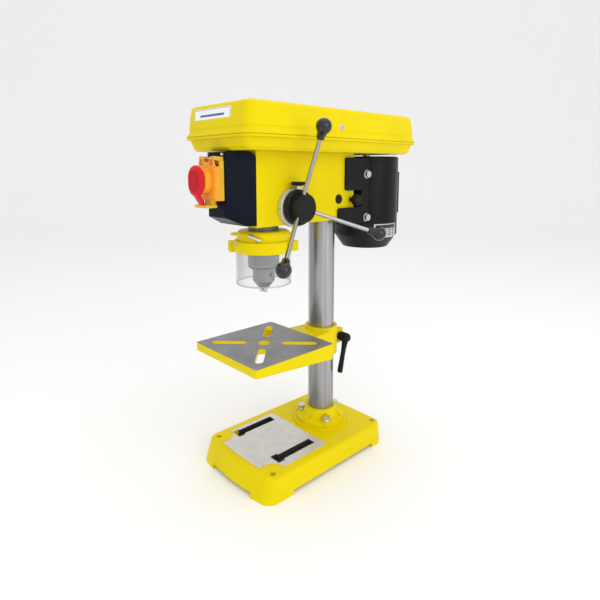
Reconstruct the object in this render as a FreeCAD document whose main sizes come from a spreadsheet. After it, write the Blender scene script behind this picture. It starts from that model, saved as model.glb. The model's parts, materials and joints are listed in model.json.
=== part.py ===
import FreeCAD, Part
import math
import os
import Sketcher

# A bench drill press, in millimetres. X is to the right, where the feed handle is, Y to the back, Z up.
# The origin is the middle of the base's four bolt holes, on the bench.

doc = FreeCAD.newDocument("DrillPress")
sheet = doc.addObject("Spreadsheet::Sheet", "Sizes")
pieces = []


# ---- sizes that carry their own expression ----

class Size:
    """A number together with the expression that the document works it out by."""

    def __init__(self, value, text):
        self.value = float(value)
        self.text = text

    def __add__(self, other):
        return combine(self, "+", other)

    def __radd__(self, other):
        return combine(other, "+", self)

    def __sub__(self, other):
        return combine(self, "-", other)

    def __rsub__(self, other):
        return combine(other, "-", self)

    def __mul__(self, other):
        return combine(self, "*", other)

    def __rmul__(self, other):
        return combine(other, "*", self)

    def __truediv__(self, other):
        return combine(self, "/", other)

    def __neg__(self):
        return combine(0, "-", self)


def asSize(item):
    return item if isinstance(item, Size) else Size(item, f"({float(item)!r})")


def combine(left, sign, right):
    left = asSize(left)
    right = asSize(right)
    value = {
        "+": lambda a, b: a + b,
        "-": lambda a, b: a - b,
        "*": lambda a, b: a * b,
        "/": lambda a, b: a / b,
    }[sign](left.value, right.value)
    return Size(value, f"({left.text} {sign} {right.text})")


def worked(name, value, *sizes):
    """A size that a function such as cos or sqrt gives."""
    return Size(value, f"{name}({'; '.join(asSize(s).text for s in sizes)})")


def cosOf(angle):
    return worked("cos", math.cos(math.radians(asSize(angle).value)), angle)


def sinOf(angle):
    return worked("sin", math.sin(math.radians(asSize(angle).value)), angle)


def tanOf(angle):
    return worked("tan", math.tan(math.radians(asSize(angle).value)), angle)


def rootOf(square):
    return worked("sqrt", math.sqrt(square.value), square)


def driving(name, value):
    """A driving dimension: one cell of the spreadsheet, named by its alias."""
    driving.row += 1
    cell = f"A{driving.row}"
    sheet.set(cell, repr(float(value)))
    sheet.setAlias(cell, name)
    return Size(value, f"Sizes.{name}")


driving.row = 0


# ---- sketches and features ----

normalSign = {"XY": 1, "YZ": 1, "XZ": -1}


def newBody(label, x=0, y=0, z=0):
    body = doc.addObject("PartDesign::Body", label)
    body.Label = label
    for axis, size in zip("xyz", (x, y, z)):
        body.setExpression(f"Placement.Base.{axis}", asSize(size).text)
    pieces.append(body)
    return body


def newSketch(body, plane, place=0, turn=0):
    """A sketch on one of the body's planes, moved to a place along the plane's own world axis."""
    sketch = body.newObject("Sketcher::SketchObject", f"{body.Name}_sketch")
    role = f"{plane}_Plane"
    face = [f for f in body.Origin.OriginFeatures if f.Role == role][0]
    sketch.AttachmentSupport = [(face, "")]
    sketch.MapMode = "FlatFace"
    sketch.setExpression("AttachmentOffset.Base.z", (normalSign[plane] * asSize(place)).text)
    if asSize(turn).value:
        sketch.AttachmentOffset = FreeCAD.Placement(
            sketch.AttachmentOffset.Base, FreeCAD.Rotation(FreeCAD.Vector(0, 0, 1), 1)
        )
        sketch.setExpression("AttachmentOffset.Rotation.Angle", asSize(turn).text)
    return sketch


def pin(sketch, geometry, point, x, y):
    """Hold one point of the sketch at x, y from its origin."""
    for kind, size in (("DistanceX", asSize(x)), ("DistanceY", asSize(y))):
        index = sketch.addConstraint(Sketcher.Constraint(kind, -1, 1, geometry, point, size.value))
        sketch.setExpression(f"Constraints[{index}]", size.text)


def circle(x, y, radius):
    def draw(sketch):
        centre = FreeCAD.Vector(asSize(x).value, asSize(y).value, 0)
        up = FreeCAD.Vector(0, 0, 1)
        geometry = sketch.addGeometry(Part.Circle(centre, up, asSize(radius).value))
        pin(sketch, geometry, 3, x, y)
        index = sketch.addConstraint(Sketcher.Constraint("Radius", geometry, asSize(radius).value))
        sketch.setExpression(f"Constraints[{index}]", asSize(radius).text)

    return draw


def outline(corners, bows=None):
    """A closed outline. bows gives an edge, by its first corner, as an arc: (radius, middle x, middle y)."""
    bows = bows or {}

    def draw(sketch):
        ends = []
        spots = [FreeCAD.Vector(asSize(x).value, asSize(y).value, 0) for x, y in corners]
        for index, spot in enumerate(spots):
            after = spots[(index + 1) % len(spots)]
            if index in bows:
                radius, x, y = bows[index]
                middle = FreeCAD.Vector(asSize(x).value, asSize(y).value, 0)
                geometry = sketch.addGeometry(Part.Arc(spot, middle, after))
                first = sketch.getPoint(geometry, 1)
                ends.append((geometry, 1, 2) if first.distanceToPoint(spot) < 1e-4 else (geometry, 2, 1))
            else:
                ends.append((sketch.addGeometry(Part.LineSegment(spot, after)), 1, 2))
        for index, (geometry, start, end) in enumerate(ends):
            following = ends[(index + 1) % len(ends)]
            sketch.addConstraint(
                Sketcher.Constraint("Coincident", geometry, end, following[0], following[1])
            )
        for index, (geometry, start, end) in enumerate(ends):
            pin(sketch, geometry, start, *corners[index])
            if index not in bows:
                continue
            radius = asSize(bows[index][0])
            spot = spots[index]
            after = spots[(index + 1) % len(spots)]
            if spot.distanceToPoint(after) < 2 * radius.value - 1e-6:
                number = sketch.addConstraint(Sketcher.Constraint("Radius", geometry, radius.value))
                sketch.setExpression(f"Constraints[{number}]", radius.text)
            else:
                # a half circle is held by its centre, which lies level with both of its ends
                side = 0 if abs(spot.x - after.x) < 1e-6 else 1
                size = asSize(corners[index][side])
                kind = ("DistanceX", "DistanceY")[side]
                number = sketch.addConstraint(Sketcher.Constraint(kind, -1, 1, geometry, 3, size.value))
                sketch.setExpression(f"Constraints[{number}]", size.text)

    return draw


def box(left, right, low, high):
    return outline([(left, low), (right, low), (right, high), (left, high)])


def slot(x, y, length, width):
    """A round-ended slot along the sketch's first axis, centred on x, y and length long from end to end."""
    half = length / 2 - width / 2
    side = width / 2
    corners = [(x - half, y - side), (x + half, y - side), (x + half, y + side), (x - half, y + side)]
    return outline(corners, {1: (side, x + half + side, y), 3: (side, x - half - side, y)})


def fill(body, plane, shapes, start, end, cut=False, turn=0):
    """Add, or cut away, what the shapes enclose from start to end along the plane's own axis."""
    length = asSize(end) - start
    fromEnd = (plane == "XZ") != cut
    sketch = newSketch(body, plane, end if fromEnd else start, turn)
    for draw in shapes:
        draw(sketch)
    kind = "Pocket" if cut else "Pad"
    feature = body.newObject(f"PartDesign::{kind}", f"{body.Name}_{kind.lower()}")
    feature.Profile = sketch
    feature.setExpression("Length", length.text)
    body.Tip = feature
    return feature


def cut(body, plane, shapes, start, end, turn=0):
    return fill(body, plane, shapes, start, end, cut=True, turn=turn)


def turned(body, axis, profile, bows=None, cut=False):
    """Turn a profile of (radius, place along the axis) corners about an axis through the body's origin."""
    plane = {"Z": "XZ", "X": "XZ", "Y": "YZ"}[axis]
    swap = axis != "Z"
    sketch = newSketch(body, plane)
    corners = [(along, radius) if swap else (radius, along) for radius, along in profile]
    arcs = {}
    for index, (radius, middleRadius, middleAlong) in (bows or {}).items():
        arcs[index] = (radius, middleAlong, middleRadius) if swap else (radius, middleRadius, middleAlong)
    outline(corners, arcs)(sketch)
    kind = "Groove" if cut else "Revolution"
    feature = body.newObject(f"PartDesign::{kind}", f"{body.Name}_{kind.lower()}")
    feature.Profile = sketch
    feature.ReferenceAxis = (sketch, ["H_Axis" if swap else "V_Axis"])
    feature.Angle = 360
    body.Tip = feature
    return feature


def ring(inner, outer, low, high):
    """The profile of a plain ring, tube or, with inner 0, disc."""
    return [(inner, low), (outer, low), (outer, high), (inner, high)]


def around(body, features, count, axis="Z"):
    """Repeat features evenly about one of the body's own axes."""
    line = [f for f in body.Origin.OriginFeatures if f.Role == f"{axis}_Axis"][0]
    pattern = body.newObject("PartDesign::PolarPattern", f"{body.Name}_around")
    pattern.Originals = features
    pattern.Axis = (line, [""])
    pattern.Angle = 360
    pattern.setExpression("Occurrences", asSize(count).text)
    body.Tip = pattern
    return pattern


def dress(body, kind, size, chosen):
    """Fillet or chamfer the edges of the body so far that chosen(edge) accepts."""
    doc.recompute()
    base = body.Tip
    names = [f"Edge{i + 1}" for i, edge in enumerate(base.Shape.Edges) if chosen(edge)]
    if not names:
        raise ValueError(f"{body.Label} has no such edge to dress")
    feature = body.newObject(f"PartDesign::{kind}", f"{body.Name}_{kind.lower()}")
    feature.Base = (base, names)
    feature.setExpression("Radius" if kind == "Fillet" else "Size", asSize(size).text)
    body.Tip = feature
    return feature


def upright(edge):
    """An edge that runs within 30 degrees of vertical from end to end."""
    ends = (edge.FirstParameter, edge.LastParameter)
    return all(abs(edge.tangentAt(end).z) > math.cos(math.radians(30)) for end in ends)


def both(*rules):
    return lambda edge: all(rule(edge) for rule in rules)


# ---- primitives, for round stock, bolts and groups of fasteners ----

def primitive(kind, name, **sizes):
    item = doc.addObject(f"Part::{kind}", name)
    for key, size in sizes.items():
        item.setExpression(key, asSize(size).text)
    return item


def aim(item, x=0, y=0, z=0, axis=None, angle=0):
    """Put a primitive at x, y, z, turned by an angle about an axis."""
    if axis:
        item.Placement = FreeCAD.Placement(
            FreeCAD.Vector(0, 0, 0), FreeCAD.Rotation(FreeCAD.Vector(*axis), 1)
        )
        item.setExpression("Placement.Rotation.Angle", asSize(angle).text)
    for name, size in zip("xyz", (x, y, z)):
        item.setExpression(f"Placement.Base.{name}", asSize(size).text)
    return item


def gathered(label, members):
    """Separate solids that share one node."""
    group = doc.addObject("Part::Compound", label)
    group.Links = members
    group.Label = label
    pieces.append(group)
    return group


def merged(name, members):
    joined = doc.addObject("Part::MultiFuse", name)
    joined.Shapes = members
    return joined


# ---- driving dimensions ----

# clearances
slideGap = driving("slideGap", 0.05)
turnGap = driving("turnGap", 0.05)
seatGap = driving("seatGap", 0.3)
openGap = driving("openGap", 1.0)

# column and the two axes
columnRadius = driving("columnRadius", 23)
columnWall = driving("columnWall", 3.5)
columnBack = driving("columnBack", 58)
throat = driving("throat", 132)

# base
baseHalfWidth = driving("baseHalfWidth", 91)
baseRear = driving("baseRear", 133)
baseFront = driving("baseFront", 144)
baseBulge = driving("baseBulge", 6)
baseDraft = driving("baseDraft", 2.5)
baseFrontDraft = driving("baseFrontDraft", 10)
baseHeight = driving("baseHeight", 37.5)
baseDeck = driving("baseDeck", 9)
baseSkirt = driving("baseSkirt", 7)
baseCorner = driving("baseCorner", 22)
baseEdge = driving("baseEdge", 5)
footLift = driving("footLift", 7)
footFront = driving("footFront", 92)
footRear = driving("footRear", 98)
footInner = driving("footInner", 50)
benchBoltX = driving("benchBoltX", 145)
benchBoltY = driving("benchBoltY", 237)
benchHole = driving("benchHole", 4.5)
benchBoss = driving("benchBoss", 10)
padHalfWidth = driving("padHalfWidth", 72)
padFront = driving("padFront", 124)
padBulge = driving("padBulge", 4)
padRaise = driving("padRaise", 1.2)
padBite = driving("padBite", 24)
slotLeft = driving("slotLeft", 56)
slotRight = driving("slotRight", 48)
slotMiddle = driving("slotMiddle", 53.5)
slotLength = driving("slotLength", 82)
slotWidth = driving("slotWidth", 15)
slotEntry = driving("slotEntry", 22)
slotEntryDepth = driving("slotEntryDepth", 13)

# column flange
flangeSeat = driving("flangeSeat", 50)
flangeSeatRaise = driving("flangeSeatRaise", 3)
flangeRadius = driving("flangeRadius", 44)
flangeRim = driving("flangeRim", 6)
flangeNeck = driving("flangeNeck", 27.5)
flangeHeight = driving("flangeHeight", 24.2)
flangeBoltCircle = driving("flangeBoltCircle", 37)
flangeLug = driving("flangeLug", 9)
flangeLugHeight = driving("flangeLugHeight", 10)
flangeBolt = driving("flangeBolt", 4)
boltAcross = driving("boltAcross", 7.5)
boltHead = driving("boltHead", 5.5)
washerRadius = driving("washerRadius", 8.5)
washerThick = driving("washerThick", 1.5)

# table
tableHalf = driving("tableHalf", 80)
tableTop = driving("tableTop", 214.5)
tablePlate = driving("tablePlate", 8)
tableRim = driving("tableRim", 5)
tableFrontDepth = driving("tableFrontDepth", 13)
tableRearDepth = driving("tableRearDepth", 26)
tableHole = driving("tableHole", 10)
tableBoss = driving("tableBoss", 17)
tableSlotNear = driving("tableSlotNear", 29)
tableSlotFar = driving("tableSlotFar", 86)
tableSlotWidth = driving("tableSlotWidth", 13)
clampRadius = driving("clampRadius", 29)
clampAbove = driving("clampAbove", 3)
clampBelow = driving("clampBelow", 48)
clampSplit = driving("clampSplit", 3)
earHalf = driving("earHalf", 12)
earReach = driving("earReach", 46)
earMiddle = driving("earMiddle", 24.5)
earHeight = driving("earHeight", 26)
lockBack = driving("lockBack", 37)
lockStud = driving("lockStud", 5)
lockHub = driving("lockHub", 8.5)
lockReach = driving("lockReach", 27)
lockArm = driving("lockArm", 66)
lockLean = driving("lockLean", 13)

# head
headHalf = driving("headHalf", 40)
headFrontReach = driving("headFrontReach", 44)
headRearReach = driving("headRearReach", 42)
headBottom = driving("headBottom", 411)
headTop = driving("headTop", 523)
headWall = driving("headWall", 7)
headFloor = driving("headFloor", 9)
headCorner = driving("headCorner", 6)
columnBossWall = driving("columnBossWall", 7)
columnTop = driving("columnTop", 500)
quillBossWall = driving("quillBossWall", 8)
setScrew = driving("setScrew", 7)
setScrewHigh = driving("setScrewHigh", 446)

# front cover and switch
coverReach = driving("coverReach", 86.5)
coverNose = driving("coverNose", 22)
coverSkin = driving("coverSkin", 2.5)
coverLow = driving("coverLow", 414)
coverNoseLow = driving("coverNoseLow", 427)
coverHigh = driving("coverHigh", 521)
coverRound = driving("coverRound", 11)
coverScrew = driving("coverScrew", 2.2)
switchHalf = driving("switchHalf", 20.5)
switchLow = driving("switchLow", 452)
switchHigh = driving("switchHigh", 508)
switchDepth = driving("switchDepth", 7.5)
lidDepth = driving("lidDepth", 8.5)
lidSkin = driving("lidSkin", 1.8)
lidHalf = driving("lidHalf", 23)
switchHinge = driving("switchHinge", 2.2)
paddleHalf = driving("paddleHalf", 17.5)
paddleTall = driving("paddleTall", 45)
paddleHigh = driving("paddleHigh", 479.5)
paddleThick = driving("paddleThick", 7)
paddleStand = driving("paddleStand", 14)
paddleStem = driving("paddleStem", 8)
buttonHalf = driving("buttonHalf", 7)
buttonTall = driving("buttonTall", 16)
buttonTravel = driving("buttonTravel", 2.5)

# quill, feed
quillRadius = driving("quillRadius", 19)
quillBore = driving("quillBore", 10)
quillTop = driving("quillTop", 500)
quillStroke = driving("quillStroke", 50)
collarRadius = driving("collarRadius", 24)
collarLow = driving("collarLow", 384)
bearingRadius = driving("bearingRadius", 15)
bearingHigh = driving("bearingHigh", 11)
gearModule = driving("gearModule", 1.25)
pinionTeeth = driving("pinionTeeth", 15)
pressureAngle = driving("pressureAngle", 20)
backlash = driving("backlash", 0.14)
rackPlane = driving("rackPlane", 17)
rackHalf = driving("rackHalf", 6.5)
pinionHalf = driving("pinionHalf", 6)
pinionHigh = driving("pinionHigh", 438)
feedShaft = driving("feedShaft", 7)
feedBoss = driving("feedBoss", 14)
ringRadius = driving("ringRadius", 31)
ringThick = driving("ringThick", 9)
hubRadius = driving("hubRadius", 27.5)
hubDisc = driving("hubDisc", 8)
hubNose = driving("hubNose", 22)
hubFront = driving("hubFront", 73)
rodRadius = driving("rodRadius", 3.2)
rodLean = driving("rodLean", 29.5)
rodRoot = driving("rodRoot", 15)
knobReach = driving("knobReach", 118.5)
knobRadius = driving("knobRadius", 11.3)
knobNeck = driving("knobNeck", 7.5)
feedAngle = driving("feedAngle", 98.6)
springRadius = driving("springRadius", 27)
springDepth = driving("springDepth", 20)
ringScrew = driving("ringScrew", 3)
ringScrewStem = driving("ringScrewStem", 6)
ringKnob = driving("ringKnob", 11)
ringKnobThick = driving("ringKnobThick", 5)

# spindle and chuck
spindleRadius = driving("spindleRadius", 8)
spindleTop = driving("spindleTop", 576)
taperTop = driving("taperTop", 8.2)
taperLow = driving("taperLow", 7.2)
taperLength = driving("taperLength", 22)
chuckTop = driving("chuckTop", 380)
chuckNeck = driving("chuckNeck", 17)
chuckCore = driving("chuckCore", 14.5)
chuckNose = driving("chuckNose", 17.7)
chuckMouth = driving("chuckMouth", 9)
sleeveRadius = driving("sleeveRadius", 25)
sleeveLow = driving("sleeveLow", 340)
sleeveHigh = driving("sleeveHigh", 366)
sleeveRoom = driving("sleeveRoom", 20)
sleeveTeeth = driving("sleeveTeeth", 24)
noseLow = driving("noseLow", 320)
mouthLow = driving("mouthLow", 309)
jawTip = driving("jawTip", 301.6)
jawRadius = driving("jawRadius", 3.2)
jawLean = driving("jawLean", 12)
jawLength = driving("jawLength", 46)
shankBore = driving("shankBore", 4)

# chuck guard
guardRadius = driving("guardRadius", 42)
guardTop = driving("guardTop", 401)
guardPlate = driving("guardPlate", 9)
guardSkirt = driving("guardSkirt", 3)
guardSkirtLow = driving("guardSkirtLow", 374)
guardRing = driving("guardRing", 46.5)
guardRingHigh = driving("guardRingHigh", 386)
guardRingLow = driving("guardRingLow", 362)
shieldRadius = driving("shieldRadius", 44)
shieldWall = driving("shieldWall", 2)
shieldLow = driving("shieldLow", 316)
guardTab = driving("guardTab", 56)

# belt drive
pulleySmall = driving("pulleySmall", 22)
pulleyStep = driving("pulleyStep", 4)
pulleySum = driving("pulleySum", 54)
pulleyLow = driving("pulleyLow", 530)
groovePitch = driving("groovePitch", 10.8)
grooveDeep = driving("grooveDeep", 5)
beltWide = driving("beltWide", 8)
beltThick = driving("beltThick", 5.5)
sleeveShaft = driving("sleeveShaft", 12)
sleeveShaftLow = driving("sleeveShaftLow", 505)
sleeveBearing = driving("sleeveBearing", 20)

# belt cover
rimHalf = driving("rimHalf", 86.5)
rimFront = driving("rimFront", 165.8)
rimRear = driving("rimRear", 225)
rimHigh = driving("rimHigh", 543.5)
rimThick = driving("rimThick", 3.5)
rimLip = driving("rimLip", 5.5)
rimCorner = driving("rimCorner", 24)
panDraft = driving("panDraft", 5)
panSkin = driving("panSkin", 2.5)
panEdge = driving("panEdge", 9)
lidTop = driving("lidTop", 590)
lidDraft = driving("lidDraft", 4)
lidEdge = driving("lidEdge", 6)
hingePin = driving("hingePin", 1.5)
hingeOut = driving("hingeOut", 3)
hingeWide = driving("hingeWide", 12)
hingeFront = driving("hingeFront", -70)
hingeBack = driving("hingeBack", 130)
lidScrew = driving("lidScrew", 3)
lidScrewBack = driving("lidScrewBack", 18)
lidScrewHigh = driving("lidScrewHigh", 560.3)
plateHalf = driving("plateHalf", 46)
plateSide = driving("plateSide", -8)
plateTall = driving("plateTall", 20)
plateHigh = driving("plateHigh", 573)

# motor
motorBack = driving("motorBack", 120)
motorRadius = driving("motorRadius", 60)
motorTop = driving("motorTop", 519)
motorCap = driving("motorCap", 13)
motorSkin = driving("motorSkin", 4)
fanTop = driving("fanTop", 400)
fanLow = driving("fanLow", 351)
fanFloor = driving("fanFloor", 43)
fanSlope = driving("fanSlope", 24)
motorShaft = driving("motorShaft", 7)
bracketHalf = driving("bracketHalf", 44.5)
bracketThick = driving("bracketThick", 4)
barRadius = driving("barRadius", 6)
barSide = driving("barSide", 30)
barHigh = driving("barHigh", 444)
barGrip = driving("barGrip", 22)
tensionStroke = driving("tensionStroke", 11)
bracketHigh = driving("bracketHigh", 516)
bracketUpper = driving("bracketUpper", 460)
bracketLower = driving("bracketLower", 430.5)
bracketLow = driving("bracketLow", 402)
tensionStud = driving("tensionStud", 4)
tensionKnob = driving("tensionKnob", 10)
motorBolt = driving("motorBolt", 3.2)
boltUpper = driving("boltUpper", 487.5)
boltLower = driving("boltLower", 411)
rotorRadius = driving("rotorRadius", 31)
capacitorHalf = driving("capacitorHalf", 23)
capacitorDepth = driving("capacitorDepth", 17)
capacitorLow = driving("capacitorLow", 410.5)
capacitorHigh = driving("capacitorHigh", 491)
labelLow = driving("labelLow", 372)
labelHigh = driving("labelHigh", 397)
labelSpan = driving("labelSpan", 50)
labelThick = driving("labelThick", 0.5)

# ---- places worked out from them ----

spindleY = columnBack - throat
flangeLow = baseHeight + flangeSeatRaise
headFront = spindleY - headFrontReach
headRear = columnBack + headRearReach
motorY = columnBack + motorBack
pinionPitch = gearModule * pinionTeeth / 2
pinionY = spindleY + rackPlane + pinionPitch


# ---- rounded plans and tapered walls ----

def plan(half, front, rear, corner, bulge=0):
    """A rectangle seen from above with rounded corners and, if asked, a bowed front edge."""
    rest = corner * (1 - 2 ** -0.5)
    corners = [
        (half, rear - corner), (half - corner, rear), (-half + corner, rear), (-half, rear - corner),
        (-half, front + corner), (-half + corner, front), (half - corner, front), (half, front + corner),
    ]
    bows = {
        0: (corner, half - rest, rear - rest), 2: (corner, -half + rest, rear - rest),
        4: (corner, -half + rest, front + rest), 6: (corner, half - rest, front + rest),
    }
    if bulge:
        bows[5] = (bowRadius(half - corner, bulge), 0, front - bulge)
    return outline(corners, bows)


def lofted(body, kind, layers):
    """Straight walls from each outline to the next one up."""
    sketches = []
    for high, draw in layers:
        sketch = newSketch(body, "XY", high)
        draw(sketch)
        sketches.append(sketch)
    loft = body.newObject(f"PartDesign::{kind}Loft", f"{body.Name}_loft")
    loft.Profile = sketches[0]
    loft.Sections = sketches[1:]
    loft.Ruled = True
    body.Tip = loft
    return loft


# ---- stand ----

def bowRadius(halfChord, height):
    """The radius of an arc over a chord, from half the chord and the arc's height."""
    return (halfChord * halfChord + height * height) / (2 * height)


def baseOutline(inset, frontInset):
    front = -(baseFront - frontInset)
    return plan(baseHalfWidth - inset, front, baseRear - inset, baseCorner - inset, baseBulge)


def makeBase():
    base = newBody("base_casting")
    shoulder = baseHeight - baseEdge
    lofted(base, "Additive", [
        (0, baseOutline(0, 0)),
        (shoulder, baseOutline(baseDraft, baseFrontDraft)),
        (baseHeight - baseEdge / 3, baseOutline(baseDraft + baseEdge / 4, baseFrontDraft + baseEdge / 4)),
        (baseHeight, baseOutline(baseDraft + baseEdge, baseFrontDraft + baseEdge)),
    ])

    inner = baseHalfWidth - baseDraft - baseSkirt
    hollow = box(-inner, inner, -(baseFront - baseFrontDraft - baseSkirt), baseRear - baseDraft - baseSkirt)
    cut(base, "XY", [hollow], 0, baseHeight - baseDeck)
    across = baseHalfWidth + 1
    cut(base, "XY", [box(-across, across, -footFront, footRear)], 0, footLift)
    along = baseFront + baseBulge + 1
    cut(base, "XY", [box(-footInner, footInner, -along, along)], 0, footLift)

    seat = circle(0, columnBack, flangeSeat)
    fill(base, "XY", [seat], baseHeight - baseDeck, flangeLow)
    ribs = [box(-baseSkirt / 2, baseSkirt / 2, -padFront, baseRear - baseSkirt)]
    fill(base, "XY", ribs, footLift + baseSkirt, baseHeight - baseDeck / 2)
    ribs = [box(-inner, inner, -baseSkirt / 2, baseSkirt / 2)]
    fill(base, "XY", ribs, footLift + baseSkirt, baseHeight - baseDeck / 2)

    padCorners = [
        (padHalfWidth, 0), (-padHalfWidth, 0), (-padHalfWidth, -padFront), (padHalfWidth, -padFront),
    ]
    padBow = {2: (bowRadius(padHalfWidth, padBulge), 0, -padFront - padBulge)}
    padTop = baseHeight + padRaise
    fill(base, "XY", [outline(padCorners, padBow)], baseHeight - baseDeck / 2, padTop)
    holes = [(side * benchBoltX / 2, way * benchBoltY / 2) for side in (-1, 1) for way in (-1, 1)]
    bites = [circle(x, y, padBite) for x, y in holes if y.value < 0]
    cut(base, "XY", bites, baseHeight, padTop + 1)

    for middle in (-slotLeft, asSize(slotRight)):
        channel = box(
            middle - slotWidth / 2, middle + slotWidth / 2,
            -slotMiddle - slotLength / 2, -slotMiddle + slotLength / 2,
        )
        front = -slotMiddle - slotLength / 2
        entry = box(middle - slotEntry / 2, middle + slotEntry / 2, front, front + slotEntryDepth)
        cut(base, "XY", [channel], 0, padTop + 1)
        cut(base, "XY", [entry], 0, padTop + 1)

    for x, y in holes:
        fill(base, "XY", [circle(x, y, benchBoss)], 0, baseHeight - 1)
    cut(base, "XY", [circle(x, y, benchHole) for x, y in holes], -1, padTop + 1)
    for turn in (-30, 90, 210):
        x = flangeBoltCircle * cosOf(turn)
        y = columnBack + flangeBoltCircle * sinOf(turn)
        cut(base, "XY", [circle(x, y, flangeBolt)], 0, flangeLow + 1)


def makeColumn():
    flange = newBody("column_flange", 0, columnBack, flangeLow)
    shoulder = flangeNeck + 5
    turned(flange, "Z", [
        (columnRadius, 0), (flangeRadius, 0), (flangeRadius, flangeRim),
        (shoulder, flangeRim + 3), (flangeNeck, flangeHeight), (columnRadius, flangeHeight),
    ])
    lug = fill(flange, "XY", [circle(flangeBoltCircle, 0, flangeLug)], 0, flangeLugHeight)
    ribFoot = flangeRadius - 1
    ribShape = outline([
        (-columnRadius - 2, 2), (-ribFoot, 2), (-ribFoot, flangeRim + 1),
        (-flangeNeck, flangeHeight - 2), (-columnRadius - 2, flangeHeight - 2),
    ])
    rib = fill(flange, "XZ", [ribShape], -flangeRim / 2, flangeRim / 2)
    around(flange, [lug], 3)
    around(flange, [rib], 3)
    cut(flange, "XY", [circle(0, 0, columnRadius)], -1, flangeHeight + 1)
    hole = cut(flange, "XY", [circle(flangeBoltCircle, 0, flangeBolt)], -1, flangeHeight)
    around(flange, [hole], 3)
    spotFace = circle(flangeBoltCircle, 0, washerRadius + seatGap)
    face = cut(flange, "XY", [spotFace], flangeLugHeight, flangeHeight)
    around(flange, [face], 3)
    flange.Placement.Rotation = FreeCAD.Rotation(FreeCAD.Vector(0, 0, 1), -30)

    tube = newBody("column")
    tube.setExpression("Placement.Base.y", columnBack.text)
    turned(tube, "Z", ring(columnRadius - columnWall, columnRadius, flangeLow, columnTop))


def hexBolt(name, shank, length, across, head, washer, washerHigh):
    """A bolt along Z: its washer sits on z = 0, its head above it and its shank below."""
    parts = [
        aim(primitive("Cylinder", f"{name}_shank", Radius=shank, Height=length + washerHigh), z=-length),
        aim(primitive("Prism", f"{name}_head", Circumradius=across, Height=head), z=washerHigh),
        primitive("Cylinder", f"{name}_washer", Radius=washer, Height=washerHigh),
    ]
    return merged(name, parts)


def makeFlangeBolts():
    bolts = []
    for number, turn in enumerate((-30, 90, 210)):
        bolt = hexBolt(
            f"flangeBolt{number}", flangeBolt - 0.2, flangeLugHeight + flangeSeatRaise + baseDeck,
            boltAcross, boltHead, washerRadius, washerThick,
        )
        x = flangeBoltCircle * cosOf(turn)
        y = columnBack + flangeBoltCircle * sinOf(turn)
        bolts.append(aim(bolt, x, y, flangeLow + flangeLugHeight))
    gathered("flange_bolts", bolts)


# ---- table ----

def makeTable():
    table = newBody("table", 0, spindleY, tableTop)
    side = outline([
        (-tableHalf, -tableFrontDepth), (tableHalf, -tableRearDepth), (tableHalf, 0), (-tableHalf, 0),
    ])
    fill(table, "YZ", [side], -tableHalf, tableHalf)
    dress(table, "Fillet", 4, upright)
    inner = tableHalf - tableRim
    cut(table, "XY", [box(-inner, inner, -inner, inner)], -tableRearDepth - 1, -tablePlate)
    fill(table, "XY", [circle(0, 0, tableBoss)], -tableFrontDepth, -tablePlate / 2)
    fill(table, "XY", [box(-tableRim / 2, tableRim / 2, -inner, inner)], -tableFrontDepth, -tablePlate / 2)
    fill(table, "XY", [box(-inner, inner, -tableRim / 2, tableRim / 2)], -tableFrontDepth, -tablePlate / 2)

    root = clampRadius + 6
    arm = outline([(root, inner), (-root, inner), (-clampRadius, throat), (clampRadius, throat)])
    fill(table, "XY", [arm], -clampBelow + 8, -2)
    fill(table, "XY", [circle(0, throat, clampRadius)], -clampBelow, clampAbove)
    earFront = throat + columnRadius - 2
    ear = box(-earHalf, earHalf, earFront, throat + earReach)
    fill(table, "XY", [ear], -earMiddle - earHeight / 2, -earMiddle + earHeight / 2)
    bore = columnRadius + slideGap
    cut(table, "XY", [circle(0, throat, bore)], -clampBelow - 1, clampAbove + 1)
    gap = box(-clampSplit / 2, clampSplit / 2, throat, throat + earReach + 1)
    cut(table, "XY", [gap], -clampBelow - 1, clampAbove + 1)
    stud = circle(throat + lockBack, -earMiddle, lockStud + turnGap)
    cut(table, "YZ", [stud], -earHalf - 1, earHalf + 1)
    cut(table, "XY", [circle(0, 0, tableHole)], -tableFrontDepth - 1, 1)
    middle = (tableSlotNear + tableSlotFar) / 2
    shape = slot(middle, 0, tableSlotFar - tableSlotNear, tableSlotWidth)
    through = cut(table, "XY", [shape], -tablePlate - 1, 1, turn=45)
    around(table, [through], 4)


def makeTableLock():
    y = spindleY + throat + lockBack
    z = tableTop - earMiddle
    lever = newBody("table_lock_lever", 0, y, z)
    washer = lockStud + 4
    start = earHalf + seatGap
    end = earHalf + lockReach
    turned(lever, "X", [
        (0, -start - 7), (washer, -start - 7), (washer, -start), (lockStud, -start), (lockStud, start),
        (lockHub - 1, start), (lockHub, start + 2), (lockHub, end - 3), (lockHub - 3, end), (0, end),
    ])
    half = lockHub - 2.5
    tip = half - 1.5
    arm = outline(
        [(-half, 0), (-tip, -lockArm), (tip, -lockArm), (half, 0)],
        {1: (tip, 0, -lockArm - tip), 3: (half, 0, half)},
    )
    fill(lever, "YZ", [arm], end - 13, end - 3, turn=-lockLean)
    dress(lever, "Fillet", 2, lambda edge: edge.BoundBox.ZMax < -half.value and edge.Length > 30)


# ---- head ----

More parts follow.
